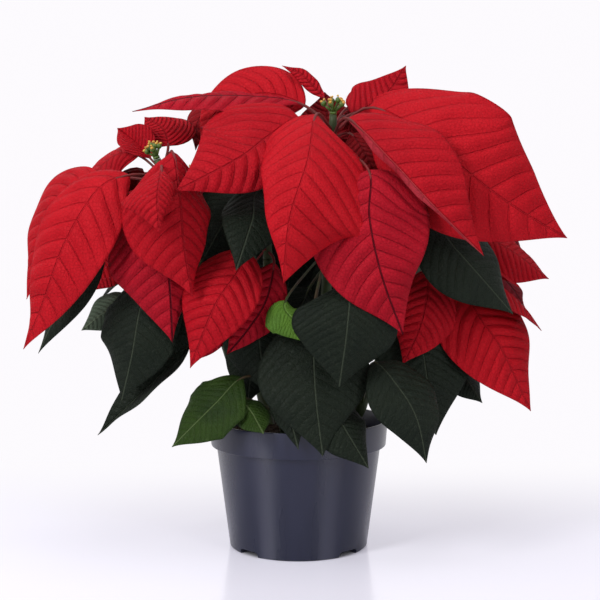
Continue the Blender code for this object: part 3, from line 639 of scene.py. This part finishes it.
def make_branch(branch, waypoints, seed):
    """Green stem with its leaves, the bracts on its upper end, and the flowers on top."""
    route = smooth_route(waypoints)
    foot = route[0] - unit(route[1] - route[0]) * ROOTING_DEPTH
    split = round(BRACTS_FROM * ROUTE_STEPS)
    way = unit(route[-1] - route[-4])
    head_top = route[-1] + way * HEAD_REACH

    kinds = ["stem", "leaf_plain", "leaf_mid", "leaf_young", "leaf_pale", "leaf_under", "leaf_stalk"]
    green = Skin("leaves_" + branch, kinds)
    path = np.vstack([foot, route[: split + 1]])
    radii = np.linspace(STEM_RADIUS_LOW, STEM_RADIUS_HIGH, len(path))
    for spec in LEAVES[branch]:
        off = (np.arange(len(path)) - spec["at"] * ROUTE_STEPS) / NODE_SPREAD
        radii += NODE_SWELLING * np.exp(-(off**2))
    green.add_tube(path, radii, STEM_SIDES, "stem")
    grow_all(green, LEAVES[branch], route, seed * 100, "leaf")
    green.make("green_leaf", "leafy_stem_" + branch)

    kinds = ["bract_plain", "bract_bright", "bract_crimson", "bract_painted_shade", "bract_under", "bract_stalk"]
    red = Skin("bracts_of_" + branch, kinds + ["stem"])
    path = np.vstack([route[split] + way * GAP, route[split + 1 :], head_top])
    radii = np.linspace(STEM_RADIUS_HIGH, HEAD_RADIUS, len(path))
    red.add_tube(path, radii, STEM_SIDES, "stem")
    grow_all(red, BRACTS[branch], route, seed * 100 + 50, "bract")
    red.make("red_bract", "bracts_" + branch)
    make_flowers(branch, head_top, way, seed)


def make_flowers(branch, top, way, seed):
    """Small green cups on short stalks, each with a yellow gland at its side and stamens on top."""
    rng = np.random.default_rng(seed)
    count, reach = FLOWERS[branch]
    foot = top + way * GAP
    skin = Skin("flower_cups_" + branch, ["cup", "gland", "stamen", "pollen"])
    base = [foot, foot + way * FLOWER_BASE_HEIGHT]
    skin.add_tube(base, FLOWER_BASE_RADIUS, 10, "cup")
    side = unit(np.cross(way, [0.0, 1.0, 0.0]))
    other = np.cross(way, side)
    cups = [(math.tau * k / (count - 1), reach, BUD_STALK) for k in range(1, count)]
    for k in range(INNER_CUPS):
        cups.append((math.tau * (k + 0.4) / INNER_CUPS, reach * 0.45, BUD_STALK + MIDDLE_BUD_LIFT))
    for angle, out, rise in cups:
        outward = side * math.cos(angle) + other * math.sin(angle)
        end = foot + way * (rise + rng.uniform(-0.6, 0.6)) + outward * out
        start = foot + way * FLOWER_BASE_HEIGHT / 2
        skin.add_tube([start, end], BUD_STALK_RADIUS, 8, "cup")
        add_cup(skin, end, way, outward, rng)
    skin.make("flower", "flowers_" + branch)


def add_cup(skin, middle, way, outward, rng):
    """One cup with its gland and stamens."""
    rings = [middle + way * BUD_RADIUS * height for height, _ in CUP_RINGS]
    side = unit(np.cross(way, outward))
    angle = math.tau * np.arange(CUP_SIDES) / CUP_SIDES
    ring = outward * np.cos(angle)[:, None] + side * np.sin(angle)[:, None]
    points = np.concatenate([at + ring * BUD_RADIUS * share for at, (_, share) in zip(rings, CUP_RINGS)])
    skin.add(points, ring_faces(len(rings), CUP_SIDES), "cup")
    lip = middle + way * BUD_RADIUS * 0.85 + outward * BUD_RADIUS * 0.7
    add_ball(skin, lip, GLAND_RADII, "gland", outward, way)
    for _ in range(STAMENS):
        turn, lean = rng.uniform(0, math.tau), rng.uniform(0.1, 0.5)
        lean_way = unit(way + (outward * math.cos(turn) + side * math.sin(turn)) * lean)
        start = middle + way * BUD_RADIUS
        end = start + lean_way * rng.uniform(1.0, 2.0)
        skin.add_tube([start, end], STAMEN_RADIUS, 5, "stamen")
        add_ball(skin, end, POLLEN_RADII, "pollen", outward, way)


def add_ball(skin, centre, radii, kind, first, second):
    """A round blob with its own radii along first, second and across both."""
    third = np.cross(first, second)
    theta = np.linspace(0.12, math.pi - 0.12, BALL_RINGS)[:, None, None]
    phi = (math.tau * np.arange(BALL_SIDES) / BALL_SIDES)[:, None]
    level = first * radii[0] * np.cos(phi) + third * radii[2] * np.sin(phi)
    points = centre + level * np.sin(theta) + second * radii[1] * np.cos(theta)
    skin.add(points, ring_faces(BALL_RINGS, BALL_SIDES), kind)


def mesh_object(name, points, faces):
    """An object from points in millimetres, not yet in the scene."""
    mesh = bpy.data.meshes.new(name)
    mesh.from_pydata((np.asarray(points, float) * MM).tolist(), [], faces)
    mesh.update()
    return bpy.data.objects.new(name, mesh)


def lathe(name, profile, sides):
    """A closed shape turned round Z from radius and height pairs."""
    angle = math.tau * (np.arange(sides) + 0.5) / sides
    circle = np.stack([np.cos(angle), np.sin(angle)], axis=1)
    points = [(x * r, y * r, z) for r, z in profile for x, y in circle]
    made = mesh_object(name, points, ring_faces(len(profile), sides))
    STAGE.objects.link(made)
    return made


def rounded(corner, before, after, radius):
    """Points that round a corner of a profile off."""
    corner, before, after = (np.array(p, float) for p in (corner, before, after))
    a, b = unit(before - corner) * radius, unit(after - corner) * radius
    share = np.linspace(0, 1, CORNER_STEPS)[:, None]
    return [tuple(p) for p in corner + a * (1 - share) ** 2 + b * share**2]


def pot_profile():
    """Outside from the disc's edge up to the rim, then inside down to the floor."""
    collar_foot = POT_HEIGHT - COLLAR_HEIGHT
    floor = CHANNEL_RISE + FLOOR_THICKNESS
    corners = [
        ((DISC_RADIUS, 0), 0.4),
        ((DISC_RADIUS + 0.4, CHANNEL_RISE), 0.4),
        ((CHANNEL_OUTER_RADIUS, CHANNEL_RISE), 0.4),
        ((CHANNEL_OUTER_RADIUS, 0), 0.4),
        ((BODY_FOOT_RADIUS, 0), 1.4),
        ((BODY_TOP_RADIUS, collar_foot), 0.5),
        ((COLLAR_FOOT_RADIUS, collar_foot), 0.9),
        ((RIM_RADIUS, POT_HEIGHT), 0.6),
        ((RIM_RADIUS - WALL, POT_HEIGHT), 0.5),
        ((COLLAR_FOOT_RADIUS - WALL, collar_foot + FLOOR_THICKNESS), 0.8),
        ((BODY_TOP_RADIUS - WALL, collar_foot - FLOOR_THICKNESS), 0.8),
        ((BODY_FOOT_RADIUS - WALL + 0.4, floor), 1.0),
        ((DISC_RADIUS, floor), 0.4),
        ((DISC_RADIUS - FLOOR_THICKNESS, FLOOR_THICKNESS), 0.4),
    ]
    places = [place for place, _ in corners]
    ends = [(0.0, 0.0)] + places + [(0.0, FLOOR_THICKNESS)]
    profile = []
    for before, (place, radius), after in zip(ends, corners, ends[2:]):
        profile += rounded(place, before, after, radius)
    return profile


def make_pot():
    """The pot, with the notches between its feet and the drain holes cut out."""
    pot = lathe("nursery_pot", pot_profile(), POT_SIDES)
    cutters = bpy.data.collections.new("pot_cutters")
    STAGE.children.link(cutters)
    for count, cutter_at in ((FEET, notch_cutter), (DRAIN_HOLES, drain_cutter)):
        for k in range(count):
            cutters.objects.link(cutter_at(math.tau * (k + 0.5) / count))
    cut = pot.modifiers.new("Cut", "BOOLEAN")
    cut.operand_type = "COLLECTION"
    cut.collection = cutters
    cut.solver = "EXACT"
    graph = bpy.context.evaluated_depsgraph_get()
    mesh = bpy.data.meshes.new_from_object(pot.evaluated_get(graph))
    pot.modifiers.clear()
    pot.data = mesh
    for cutter in list(cutters.objects):
        bpy.data.objects.remove(cutter, do_unlink=True)
    bpy.data.collections.remove(cutters)
    pot.data.materials.clear()
    pot.data.materials.append(MATERIALS["pot"])
    pot.data.shade_smooth()
    pot.data.set_sharp_from_angle(angle=SMOOTH_UP_TO)
    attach(pot, "root")
    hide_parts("pot")


def notch_cutter(angle):
    """A box with a rounded top across the standing rim."""
    inner, outer = CHANNEL_OUTER_RADIUS - CUTTER_EXCESS, BODY_FOOT_RADIUS + CUTTER_EXCESS
    width = NOTCH_WIDTH / 2
    outline = [(-width, -NOTCH_HEIGHT), (width, -NOTCH_HEIGHT), (width, NOTCH_HEIGHT * 0.6),
               (width * 0.8, NOTCH_HEIGHT), (-width * 0.8, NOTCH_HEIGHT), (-width, NOTCH_HEIGHT * 0.6)]
    out = np.array([math.cos(angle), math.sin(angle), 0])
    side = np.array([-math.sin(angle), math.cos(angle), 0])
    points = [out * r + side * s + np.array([0, 0, z]) for r in (inner, outer) for s, z in outline]
    return mesh_object("notch", points, ring_faces(2, len(outline)))


def drain_cutter(angle):
    """A round bar through the raised ring of the floor."""
    radius = (DISC_RADIUS + CHANNEL_OUTER_RADIUS) / 2 + 0.4
    x, y = radius * math.cos(angle), radius * math.sin(angle)
    low, high = CHANNEL_RISE - CUTTER_EXCESS, CHANNEL_RISE + FLOOR_THICKNESS + CUTTER_EXCESS
    points = tube_points([(x, y, low), (x, y, high)], DRAIN_RADIUS, 24)
    return mesh_object("drain", points, ring_faces(2, 24))


def make_soil():
    """Peat with an uneven top of crumbs and fibres, in which the stems stand."""
    rng = np.random.default_rng(7)
    skin = Skin("potting_soil", ["soil", "fibre"])
    wall = BODY_TOP_RADIUS - WALL - 2 * GAP
    floor = CHANNEL_RISE + FLOOR_THICKNESS + GAP
    rings = [(DISC_RADIUS * 0.1, FLOOR_THICKNESS + GAP), (DISC_RADIUS - 3, FLOOR_THICKNESS + GAP)]
    rings += [(DISC_RADIUS - 1, floor), (BODY_FOOT_RADIUS - WALL - 2 * GAP, floor)]
    rings += [(wall, POT_HEIGHT - COLLAR_HEIGHT - 2), (wall * 1.03, SOIL_TOP - 3.5)]
    top = np.linspace(0.99, 0.02, SOIL_RINGS)
    rings += [(wall * 1.01 * share, SOIL_TOP + SOIL_CROWN * (1 - share**2) - 1.5 * share**8) for share in top]
    angle = math.tau * np.arange(SOIL_SIDES) / SOIL_SIDES
    points = np.array([(r * math.cos(a), r * math.sin(a), z) for r, z in rings for a in angle])
    upper = points[:, 2] > SOIL_TOP - 3
    waves = ((0.35, 1), (0.8, 2), (1.7, 4))
    rough = sum(np.sin(points[:, 0] * f + p) * np.cos(points[:, 1] * f * 1.1 - p) for f, p in waves)
    points[upper, 2] += 0.35 * rough[upper] + rng.uniform(-0.25, 0.25, upper.sum())
    skin.add(points, ring_faces(len(rings), SOIL_SIDES), "soil")
    for _ in range(CRUMBS):
        add_crumb(skin, soil_spot(rng, wall, -0.2), rng.uniform(*CRUMB_SIZES), rng)
    for _ in range(FIBRES):
        place = soil_spot(rng, wall - 4, 0.4)
        turn, size = rng.uniform(0, math.tau), rng.uniform(*FIBRE_LENGTHS)
        way = np.array([math.cos(turn), math.sin(turn), rng.uniform(-0.1, 0.25)])
        bow = place + way * size / 2 + np.array([0, 0, 0.4])
        skin.add_tube([place, bow, place + way * size], FIBRE_RADIUS, 5, "fibre")
    skin.make("soil", "soil")


def soil_spot(rng, reach, lift):
    """A random point on the soil within reach of the middle, lift above its top."""
    share, turn = math.sqrt(rng.uniform(0, 0.96)), rng.uniform(0, math.tau)
    top = SOIL_TOP + SOIL_CROWN * (1 - share**2) + lift
    return np.array([reach * share * math.cos(turn), reach * share * math.sin(turn), top])


def add_crumb(skin, place, size, rng):
    """One small uneven lump."""
    theta, phi = np.meshgrid(np.linspace(0.2, math.pi - 0.2, 5), math.tau * np.arange(7) / 7, indexing="ij")
    radius = size * rng.uniform(0.7, 1.2, theta.shape)
    x, y = radius * np.sin(theta) * np.cos(phi), radius * np.sin(theta) * np.sin(phi)
    points = place + np.stack([x, y, radius * np.cos(theta) * 0.7], axis=-1).reshape(-1, 3)
    skin.add(points, ring_faces(5, 7), "soil")


# Shader helpers


def new_material(name, roughness, specular=0.4):
    """A material with a principled shader, and its node tree."""
    made = bpy.data.materials.new(name)
    made.use_nodes = True
    shader = made.node_tree.nodes["Principled BSDF"]
    shader.inputs["Roughness"].default_value = roughness
    shader.inputs["Specular IOR Level"].default_value = specular
    MATERIALS[name] = made
    return made.node_tree, shader


def feed(tree, socket, value):
    """Gives a socket a number, a colour or another node's output."""
    if isinstance(value, bpy.types.NodeSocket):
        tree.links.new(value, socket)
    else:
        socket.default_value = (*value, 1) if isinstance(value, tuple) else value


def calc(tree, operation, first, second=0.0, clamp=False):
    made = tree.nodes.new("ShaderNodeMath")
    made.operation = operation
    made.use_clamp = clamp
    feed(tree, made.inputs[0], first)
    feed(tree, made.inputs[1], second)
    return made.outputs[0]


def step(tree, value, low, high, start=0.0, end=1.0):
    """start below low and end above high, with a smooth change between them."""
    made = tree.nodes.new("ShaderNodeMapRange")
    made.interpolation_type = "SMOOTHSTEP"
    for socket, number in zip(made.inputs, (value, low, high, start, end)):
        feed(tree, socket, number)
    return made.outputs[0]


def mix(tree, share, first, second):
    made = tree.nodes.new("ShaderNodeMix")
    made.data_type = "RGBA"
    feed(tree, made.inputs[0], share)
    feed(tree, made.inputs[6], first)
    feed(tree, made.inputs[7], second)
    return made.outputs[2]


def object_place(tree):
    return tree.nodes.new("ShaderNodeTexCoord").outputs["Object"]


def noise(tree, place, scale, detail=3.0, stretch=None):
    """Noise from 0 to 1, with scale spots a metre."""
    if stretch:
        mapping = tree.nodes.new("ShaderNodeMapping")
        mapping.inputs["Scale"].default_value = stretch
        tree.links.new(place, mapping.inputs["Vector"])
        place = mapping.outputs[0]
    made = tree.nodes.new("ShaderNodeTexNoise")
    made.inputs["Scale"].default_value = scale
    made.inputs["Detail"].default_value = detail
    tree.links.new(place, made.inputs["Vector"])
    return made.outputs[0]


def net(tree, place, scale):
    """Distance to the nearest line of an uneven net with scale meshes a metre."""
    made = tree.nodes.new("ShaderNodeTexVoronoi")
    made.feature = "DISTANCE_TO_EDGE"
    made.inputs["Scale"].default_value = scale
    tree.links.new(place, made.inputs["Vector"])
    return made.outputs[0]


def bump(tree, shader, height, depth):
    """Relief of depth metres from a height between 0 and 1."""
    made = tree.nodes.new("ShaderNodeBump")
    made.inputs["Distance"].default_value = depth
    tree.links.new(height, made.inputs["Height"])
    tree.links.new(made.outputs[0], shader.inputs["Normal"])


def leaf_coordinates(tree, layer):
    made = tree.nodes.new("ShaderNodeUVMap")
    made.uv_map = layer
    apart = tree.nodes.new("ShaderNodeSeparateXYZ")
    tree.links.new(made.outputs[0], apart.inputs[0])
    return apart.outputs[0], apart.outputs[1]


def leaf_material(name, look, vein_up, puff):
    """A veined blade.

    vein_up: -1 where its veins are sunk, 1 where they are raised. puff: how much it swells between them.
    """
    face, dark, vein, roughness, rib_share, vein_share = look
    tree, shader = new_material(name, roughness, LEAF_SPECULAR)
    phase, reach = leaf_coordinates(tree, "veins")
    _, across = leaf_coordinates(tree, "blade")
    place = object_place(tree)
    wobble = calc(tree, "MULTIPLY", calc(tree, "SUBTRACT", noise(tree, place, 90), 0.5), 0.12)
    turn = calc(tree, "FRACT", calc(tree, "ADD", phase, wobble))
    apart = calc(tree, "ABSOLUTE", calc(tree, "SUBTRACT", turn, 0.5))
    from_vein = calc(tree, "SUBTRACT", 0.5, apart)
    side_vein = step(tree, from_vein, 0.004, 0.03 + 0.03 * puff, 1.0, 0.0)
    to_edge = calc(tree, "ABSOLUTE", calc(tree, "SUBTRACT", across, 0.5))
    side_vein = calc(tree, "MULTIPLY", side_vein, step(tree, to_edge, 0.2, 0.5, 1.0, 0.25))
    rib = step(tree, calc(tree, "ABSOLUTE", reach), 0.002, 0.009, 1.0, 0.0)
    line = calc(tree, "MAXIMUM", side_vein, rib)
    meshes = step(tree, net(tree, place, 420), 0.0, 0.12, 1.0, 0.0)
    mottle = step(tree, noise(tree, place, 45, 5.0), 0.35, 0.7)
    colour = mix(tree, mottle, face, dark)
    colour = mix(tree, calc(tree, "MULTIPLY", meshes, 0.12), colour, vein)
    shown = calc(tree, "MULTIPLY", side_vein, vein_share)
    shown = calc(tree, "MAXIMUM", shown, calc(tree, "MULTIPLY", rib, rib_share))
    colour = mix(tree, shown, colour, vein)
    tree.links.new(colour, shader.inputs["Base Color"])
    height = calc(tree, "MULTIPLY", line, vein_up)
    height = calc(tree, "ADD", height, calc(tree, "MULTIPLY", meshes, 0.25 * vein_up))
    pillow = calc(tree, "MULTIPLY", step(tree, from_vein, 0.0, 0.4), puff)
    fine = calc(tree, "MULTIPLY", noise(tree, place, 500, 3.0), 0.7)
    bump(tree, shader, calc(tree, "ADD", calc(tree, "ADD", height, pillow), fine), 0.0009)


def plain_material(name, colour, other, roughness, scale, depth, specular=0.4):
    """Two colours mottled by noise, with relief from the same noise."""
    tree, shader = new_material(name, roughness, specular)
    place = object_place(tree)
    spots = noise(tree, place, scale, 4.0)
    tree.links.new(mix(tree, step(tree, spots, 0.35, 0.65), colour, other), shader.inputs["Base Color"])
    bump(tree, shader, spots, depth)


# Veined blades: two mottled colours, the veins' colour, roughness, and how much of their colour the middle
# rib and the side veins take
BRACT_FACES = {
    "bract_plain": ((0.56, 0.006, 0.016), (0.48, 0.004, 0.013), (0.2, 0.001, 0.007), 0.62, 0.3, 0.11),
    # A lighter copy of the plain red: painted light on the bracts that face the lamps
    "bract_bright": ((0.63, 0.008, 0.018), (0.55, 0.005, 0.014), (0.24, 0.001, 0.008), 0.6, 0.2, 0.09),
    "bract_crimson": ((0.52, 0.007, 0.022), (0.44, 0.005, 0.018), (0.08, 0.0, 0.006), 0.6, 0.95, 0.2),
    # A darker copy of the plain red: painted shade on the bracts that sit in shadow
    "bract_painted_shade": ((0.3, 0.004, 0.009), (0.23, 0.003, 0.007), (0.1, 0.001, 0.004), 0.62, 0.5, 0.2),
}
LEAF_FACES = {
    "leaf_plain": ((0.0085, 0.014, 0.008), (0.005, 0.0095, 0.0055), (0.06, 0.075, 0.05), 0.5, 0.75, 0.5),
    "leaf_mid": ((0.024, 0.054, 0.006), (0.013, 0.032, 0.005), (0.13, 0.19, 0.07), 0.5, 0.75, 0.5),
    "leaf_young": ((0.12, 0.26, 0.03), (0.08, 0.18, 0.025), (0.2, 0.36, 0.08), 0.5, 0.7, 0.5),
}
UNDERSIDES = {
    "bract_under": ((0.52, 0.04, 0.06), (0.43, 0.022, 0.04), (0.5, 0.06, 0.06), 0.65, 0.5, 0.3),
    "leaf_pale": ((0.1, 0.13, 0.09), (0.07, 0.1, 0.065), (0.16, 0.2, 0.13), 0.6, 0.8, 0.6),
    "leaf_under": ((0.04, 0.06, 0.028), (0.025, 0.042, 0.02), (0.08, 0.1, 0.05), 0.6, 0.8, 0.6),
}


def make_materials():
    for blades, vein_up, puff in ((BRACT_FACES, -1.0, 1.0), (LEAF_FACES, -1.0, 0.3), (UNDERSIDES, 1.0, 1.0)):
        for name, look in blades.items():
            leaf_material(name, look, vein_up, puff)
    plain_material("bract_stalk", (0.2, 0.007, 0.01), (0.13, 0.012, 0.009), 0.55, 120, 0.0002)
    plain_material("leaf_stalk", (0.04, 0.06, 0.015), (0.06, 0.035, 0.015), 0.55, 90, 0.0002)
    plain_material("stem", (0.045, 0.075, 0.02), (0.035, 0.05, 0.015), 0.55, 60, 0.0004)
    plain_material("cup", (0.07, 0.14, 0.02), (0.13, 0.2, 0.035), 0.4, 250, 0.0001)
    plain_material("gland", (0.8, 0.47, 0.07), (0.74, 0.34, 0.06), 0.25, 400, 0.00005, 0.5)
    plain_material("stamen", (0.5, 0.12, 0.05), (0.6, 0.3, 0.08), 0.45, 400, 0.00005)
    plain_material("pollen", (0.85, 0.58, 0.12), (0.8, 0.42, 0.1), 0.6, 900, 0.0001)
    plain_material("soil", (0.02, 0.012, 0.007), (0.05, 0.03, 0.018), 0.95, 500, 0.0008, 0.15)
    plain_material("fibre", (0.12, 0.07, 0.035), (0.06, 0.035, 0.02), 0.9, 500, 0.0002, 0.2)
    pot_material()


def pot_material():
    """Satin moulded plastic with faint flow streaks up the wall."""
    tree, shader = new_material("pot", 0.3, 0.5)
    place = object_place(tree)
    streaks = noise(tree, place, 60, 3.0, (1, 1, 0.08))
    grain = noise(tree, place, 2600, 2.0)
    colour = mix(tree, step(tree, streaks, 0.35, 0.65), (0.015, 0.018, 0.044), (0.02, 0.023, 0.053))
    tree.links.new(colour, shader.inputs["Base Color"])
    tree.links.new(step(tree, streaks, 0.3, 0.7, 0.26, 0.32), shader.inputs["Roughness"])
    bump(tree, shader, calc(tree, "ADD", calc(tree, "MULTIPLY", grain, 0.4), streaks), 0.00006)


# Studio


def make_studio():
    """Pale floor that fades into a white surround, soft lights and the photo's camera."""
    side = FLOOR_SIZE
    corners = [(-side, -side, 0), (side, -side, 0), (side, side, 0), (-side, side, 0)]
    floor = mesh_object("floor", corners, [(0, 1, 2, 3)])
    STAGE.objects.link(floor)
    floor.data.materials.append(floor_material())

    world = bpy.data.worlds.new("surround")
    world.use_nodes = True
    background = world.node_tree.nodes["Background"]
    background.inputs["Color"].default_value = (*SURROUND, 1)
    world.node_tree.links.new(brightness(world.node_tree), background.inputs["Strength"])
    bpy.context.scene.world = world
    bpy.context.scene.view_settings.view_transform = "Standard"

    for name, lamp in LAMPS.items():
        area_light(name, *lamp)

    camera = bpy.data.cameras.new("camera")
    camera.lens = LENS
    camera.sensor_width = 36
    viewer = bpy.data.objects.new("camera", camera)
    viewer.location = EYE * MM
    viewer.rotation_euler = (math.radians(90 - CAMERA_TILT), 0, 0)
    STAGE.objects.link(viewer)
    bpy.context.scene.camera = viewer


def brightness(tree):
    """1 where the camera sees the surround itself, less where it is mirrored, and least where it lights."""
    path = tree.nodes.new("ShaderNodeLightPath")
    unseen = step(tree, path.outputs["Is Glossy Ray"], 0.4, 0.6, LIGHTING_SHARE, MIRRORED_SHARE)
    return step(tree, path.outputs["Is Camera Ray"], 0.4, 0.6, unseen, 1.0)


def floor_material():
    """Pale and softly glossy near the pot, and as bright as the surround further away; a glow that only
    mirrors show paints highlights and reflections on the pot.
    """
    tree, shader = new_material("floor", 0.16, 0.6)
    shader.inputs["Base Color"].default_value = (0.84, 0.83, 0.9, 1)
    shader.inputs["Emission Color"].default_value = (*FLOOR_GLOW, 1)
    length = tree.nodes.new("ShaderNodeVectorMath")
    length.operation = "LENGTH"
    tree.links.new(object_place(tree), length.inputs[0])
    distance = length.outputs["Value"]
    path = tree.nodes.new("ShaderNodeLightPath")
    beside_pot = step(tree, distance, (BODY_FOOT_RADIUS - 4) * MM, (BODY_FOOT_RADIUS + 2) * MM)
    # Painted reflections: floor glow that only glossy rays see, shown on the pot as highlights
    painted_reflection = calc(tree, "MULTIPLY", path.outputs["Is Glossy Ray"], painted_reflection_glow(tree))
    seen = calc(tree, "ADD", path.outputs["Is Camera Ray"], painted_reflection)
    tree.links.new(calc(tree, "MULTIPLY", seen, beside_pot), shader.inputs["Emission Strength"])
    glow = tree.nodes.new("ShaderNodeEmission")
    glow.inputs["Color"].default_value = (*SURROUND, 1)
    tree.links.new(brightness(tree), glow.inputs["Strength"])
    behind = step(tree, part_along(tree, object_place(tree), (0, 1)), *FLOOR_FADE_BEHIND)
    away = calc(tree, "MAXIMUM", step(tree, distance, *FLOOR_FADE), behind)
    both = tree.nodes.new("ShaderNodeMixShader")
    tree.links.new(away, both.inputs[0])
    tree.links.new(shader.outputs[0], both.inputs[1])
    tree.links.new(glow.outputs[0], both.inputs[2])
    output = tree.nodes["Material Output"]
    tree.links.new(both.outputs[0], output.inputs["Surface"])
    return MATERIALS["floor"]


def painted_reflection_glow(tree):
    """Painted reflections: a glow on the floor that only mirrors show, plain behind the pot and as wedges in
    front of it.

    Each wedge lies along the line of sight mirrored by the pot, so that it shows on the pot as a painted
    upright highlight streak.
    """
    place = object_place(tree)
    painted_glow = step(tree, part_along(tree, place, (0, 1)), *PAINTED_REFLECTION_FROM)
    radius = (BODY_FOOT_RADIUS + BODY_TOP_RADIUS) / 2
    for aside, half, power in PAINTED_POT_HIGHLIGHTS:
        ahead = math.sqrt(1 - aside**2)
        way = (2 * ahead * aside, 1 - 2 * ahead**2)
        across = (-way[1], way[0])
        start = np.array([aside, -ahead]) * radius * MM
        along = calc(tree, "SUBTRACT", part_along(tree, place, way), float(start @ way))
        beside = calc(tree, "SUBTRACT", part_along(tree, place, across), float(start @ across))
        room = calc(tree, "ADD", calc(tree, "MULTIPLY", along, 2 * half / radius), half * MM)
        off = calc(tree, "DIVIDE", calc(tree, "ABSOLUTE", beside), calc(tree, "MAXIMUM", room, MM))
        painted_glow = calc(tree, "ADD", painted_glow, step(tree, off, 0.4, 1.3, power, 0.0))
    return painted_glow


def part_along(tree, place, way):
    """How far a place lies along a level direction."""
    made = tree.nodes.new("ShaderNodeVectorMath")
    made.operation = "DOT_PRODUCT"
    tree.links.new(place, made.inputs[0])
    made.inputs[1].default_value = (*way, 0)
    return made.outputs["Value"]


def area_light(name, place, size, power):
    """A soft lamp that points at the plant. size: its width and height."""
    light = bpy.data.lights.new(name, "AREA")
    light.shape = "RECTANGLE"
    light.size, light.size_y = size
    light.energy = power
    lamp = bpy.data.objects.new(name, light)
    lamp.location = place
    away = np.array(place) - PLANT_MIDDLE
    lamp.rotation_euler = Vector(away).to_track_quat("Z", "Y").to_euler()
    STAGE.objects.link(lamp)


MATERIALS = {}
make_materials()
make_pot()
for number, (branch, waypoints) in enumerate(BRANCHES.items(), 1):
    make_branch(branch, waypoints, number)
make_soil()
make_studio()
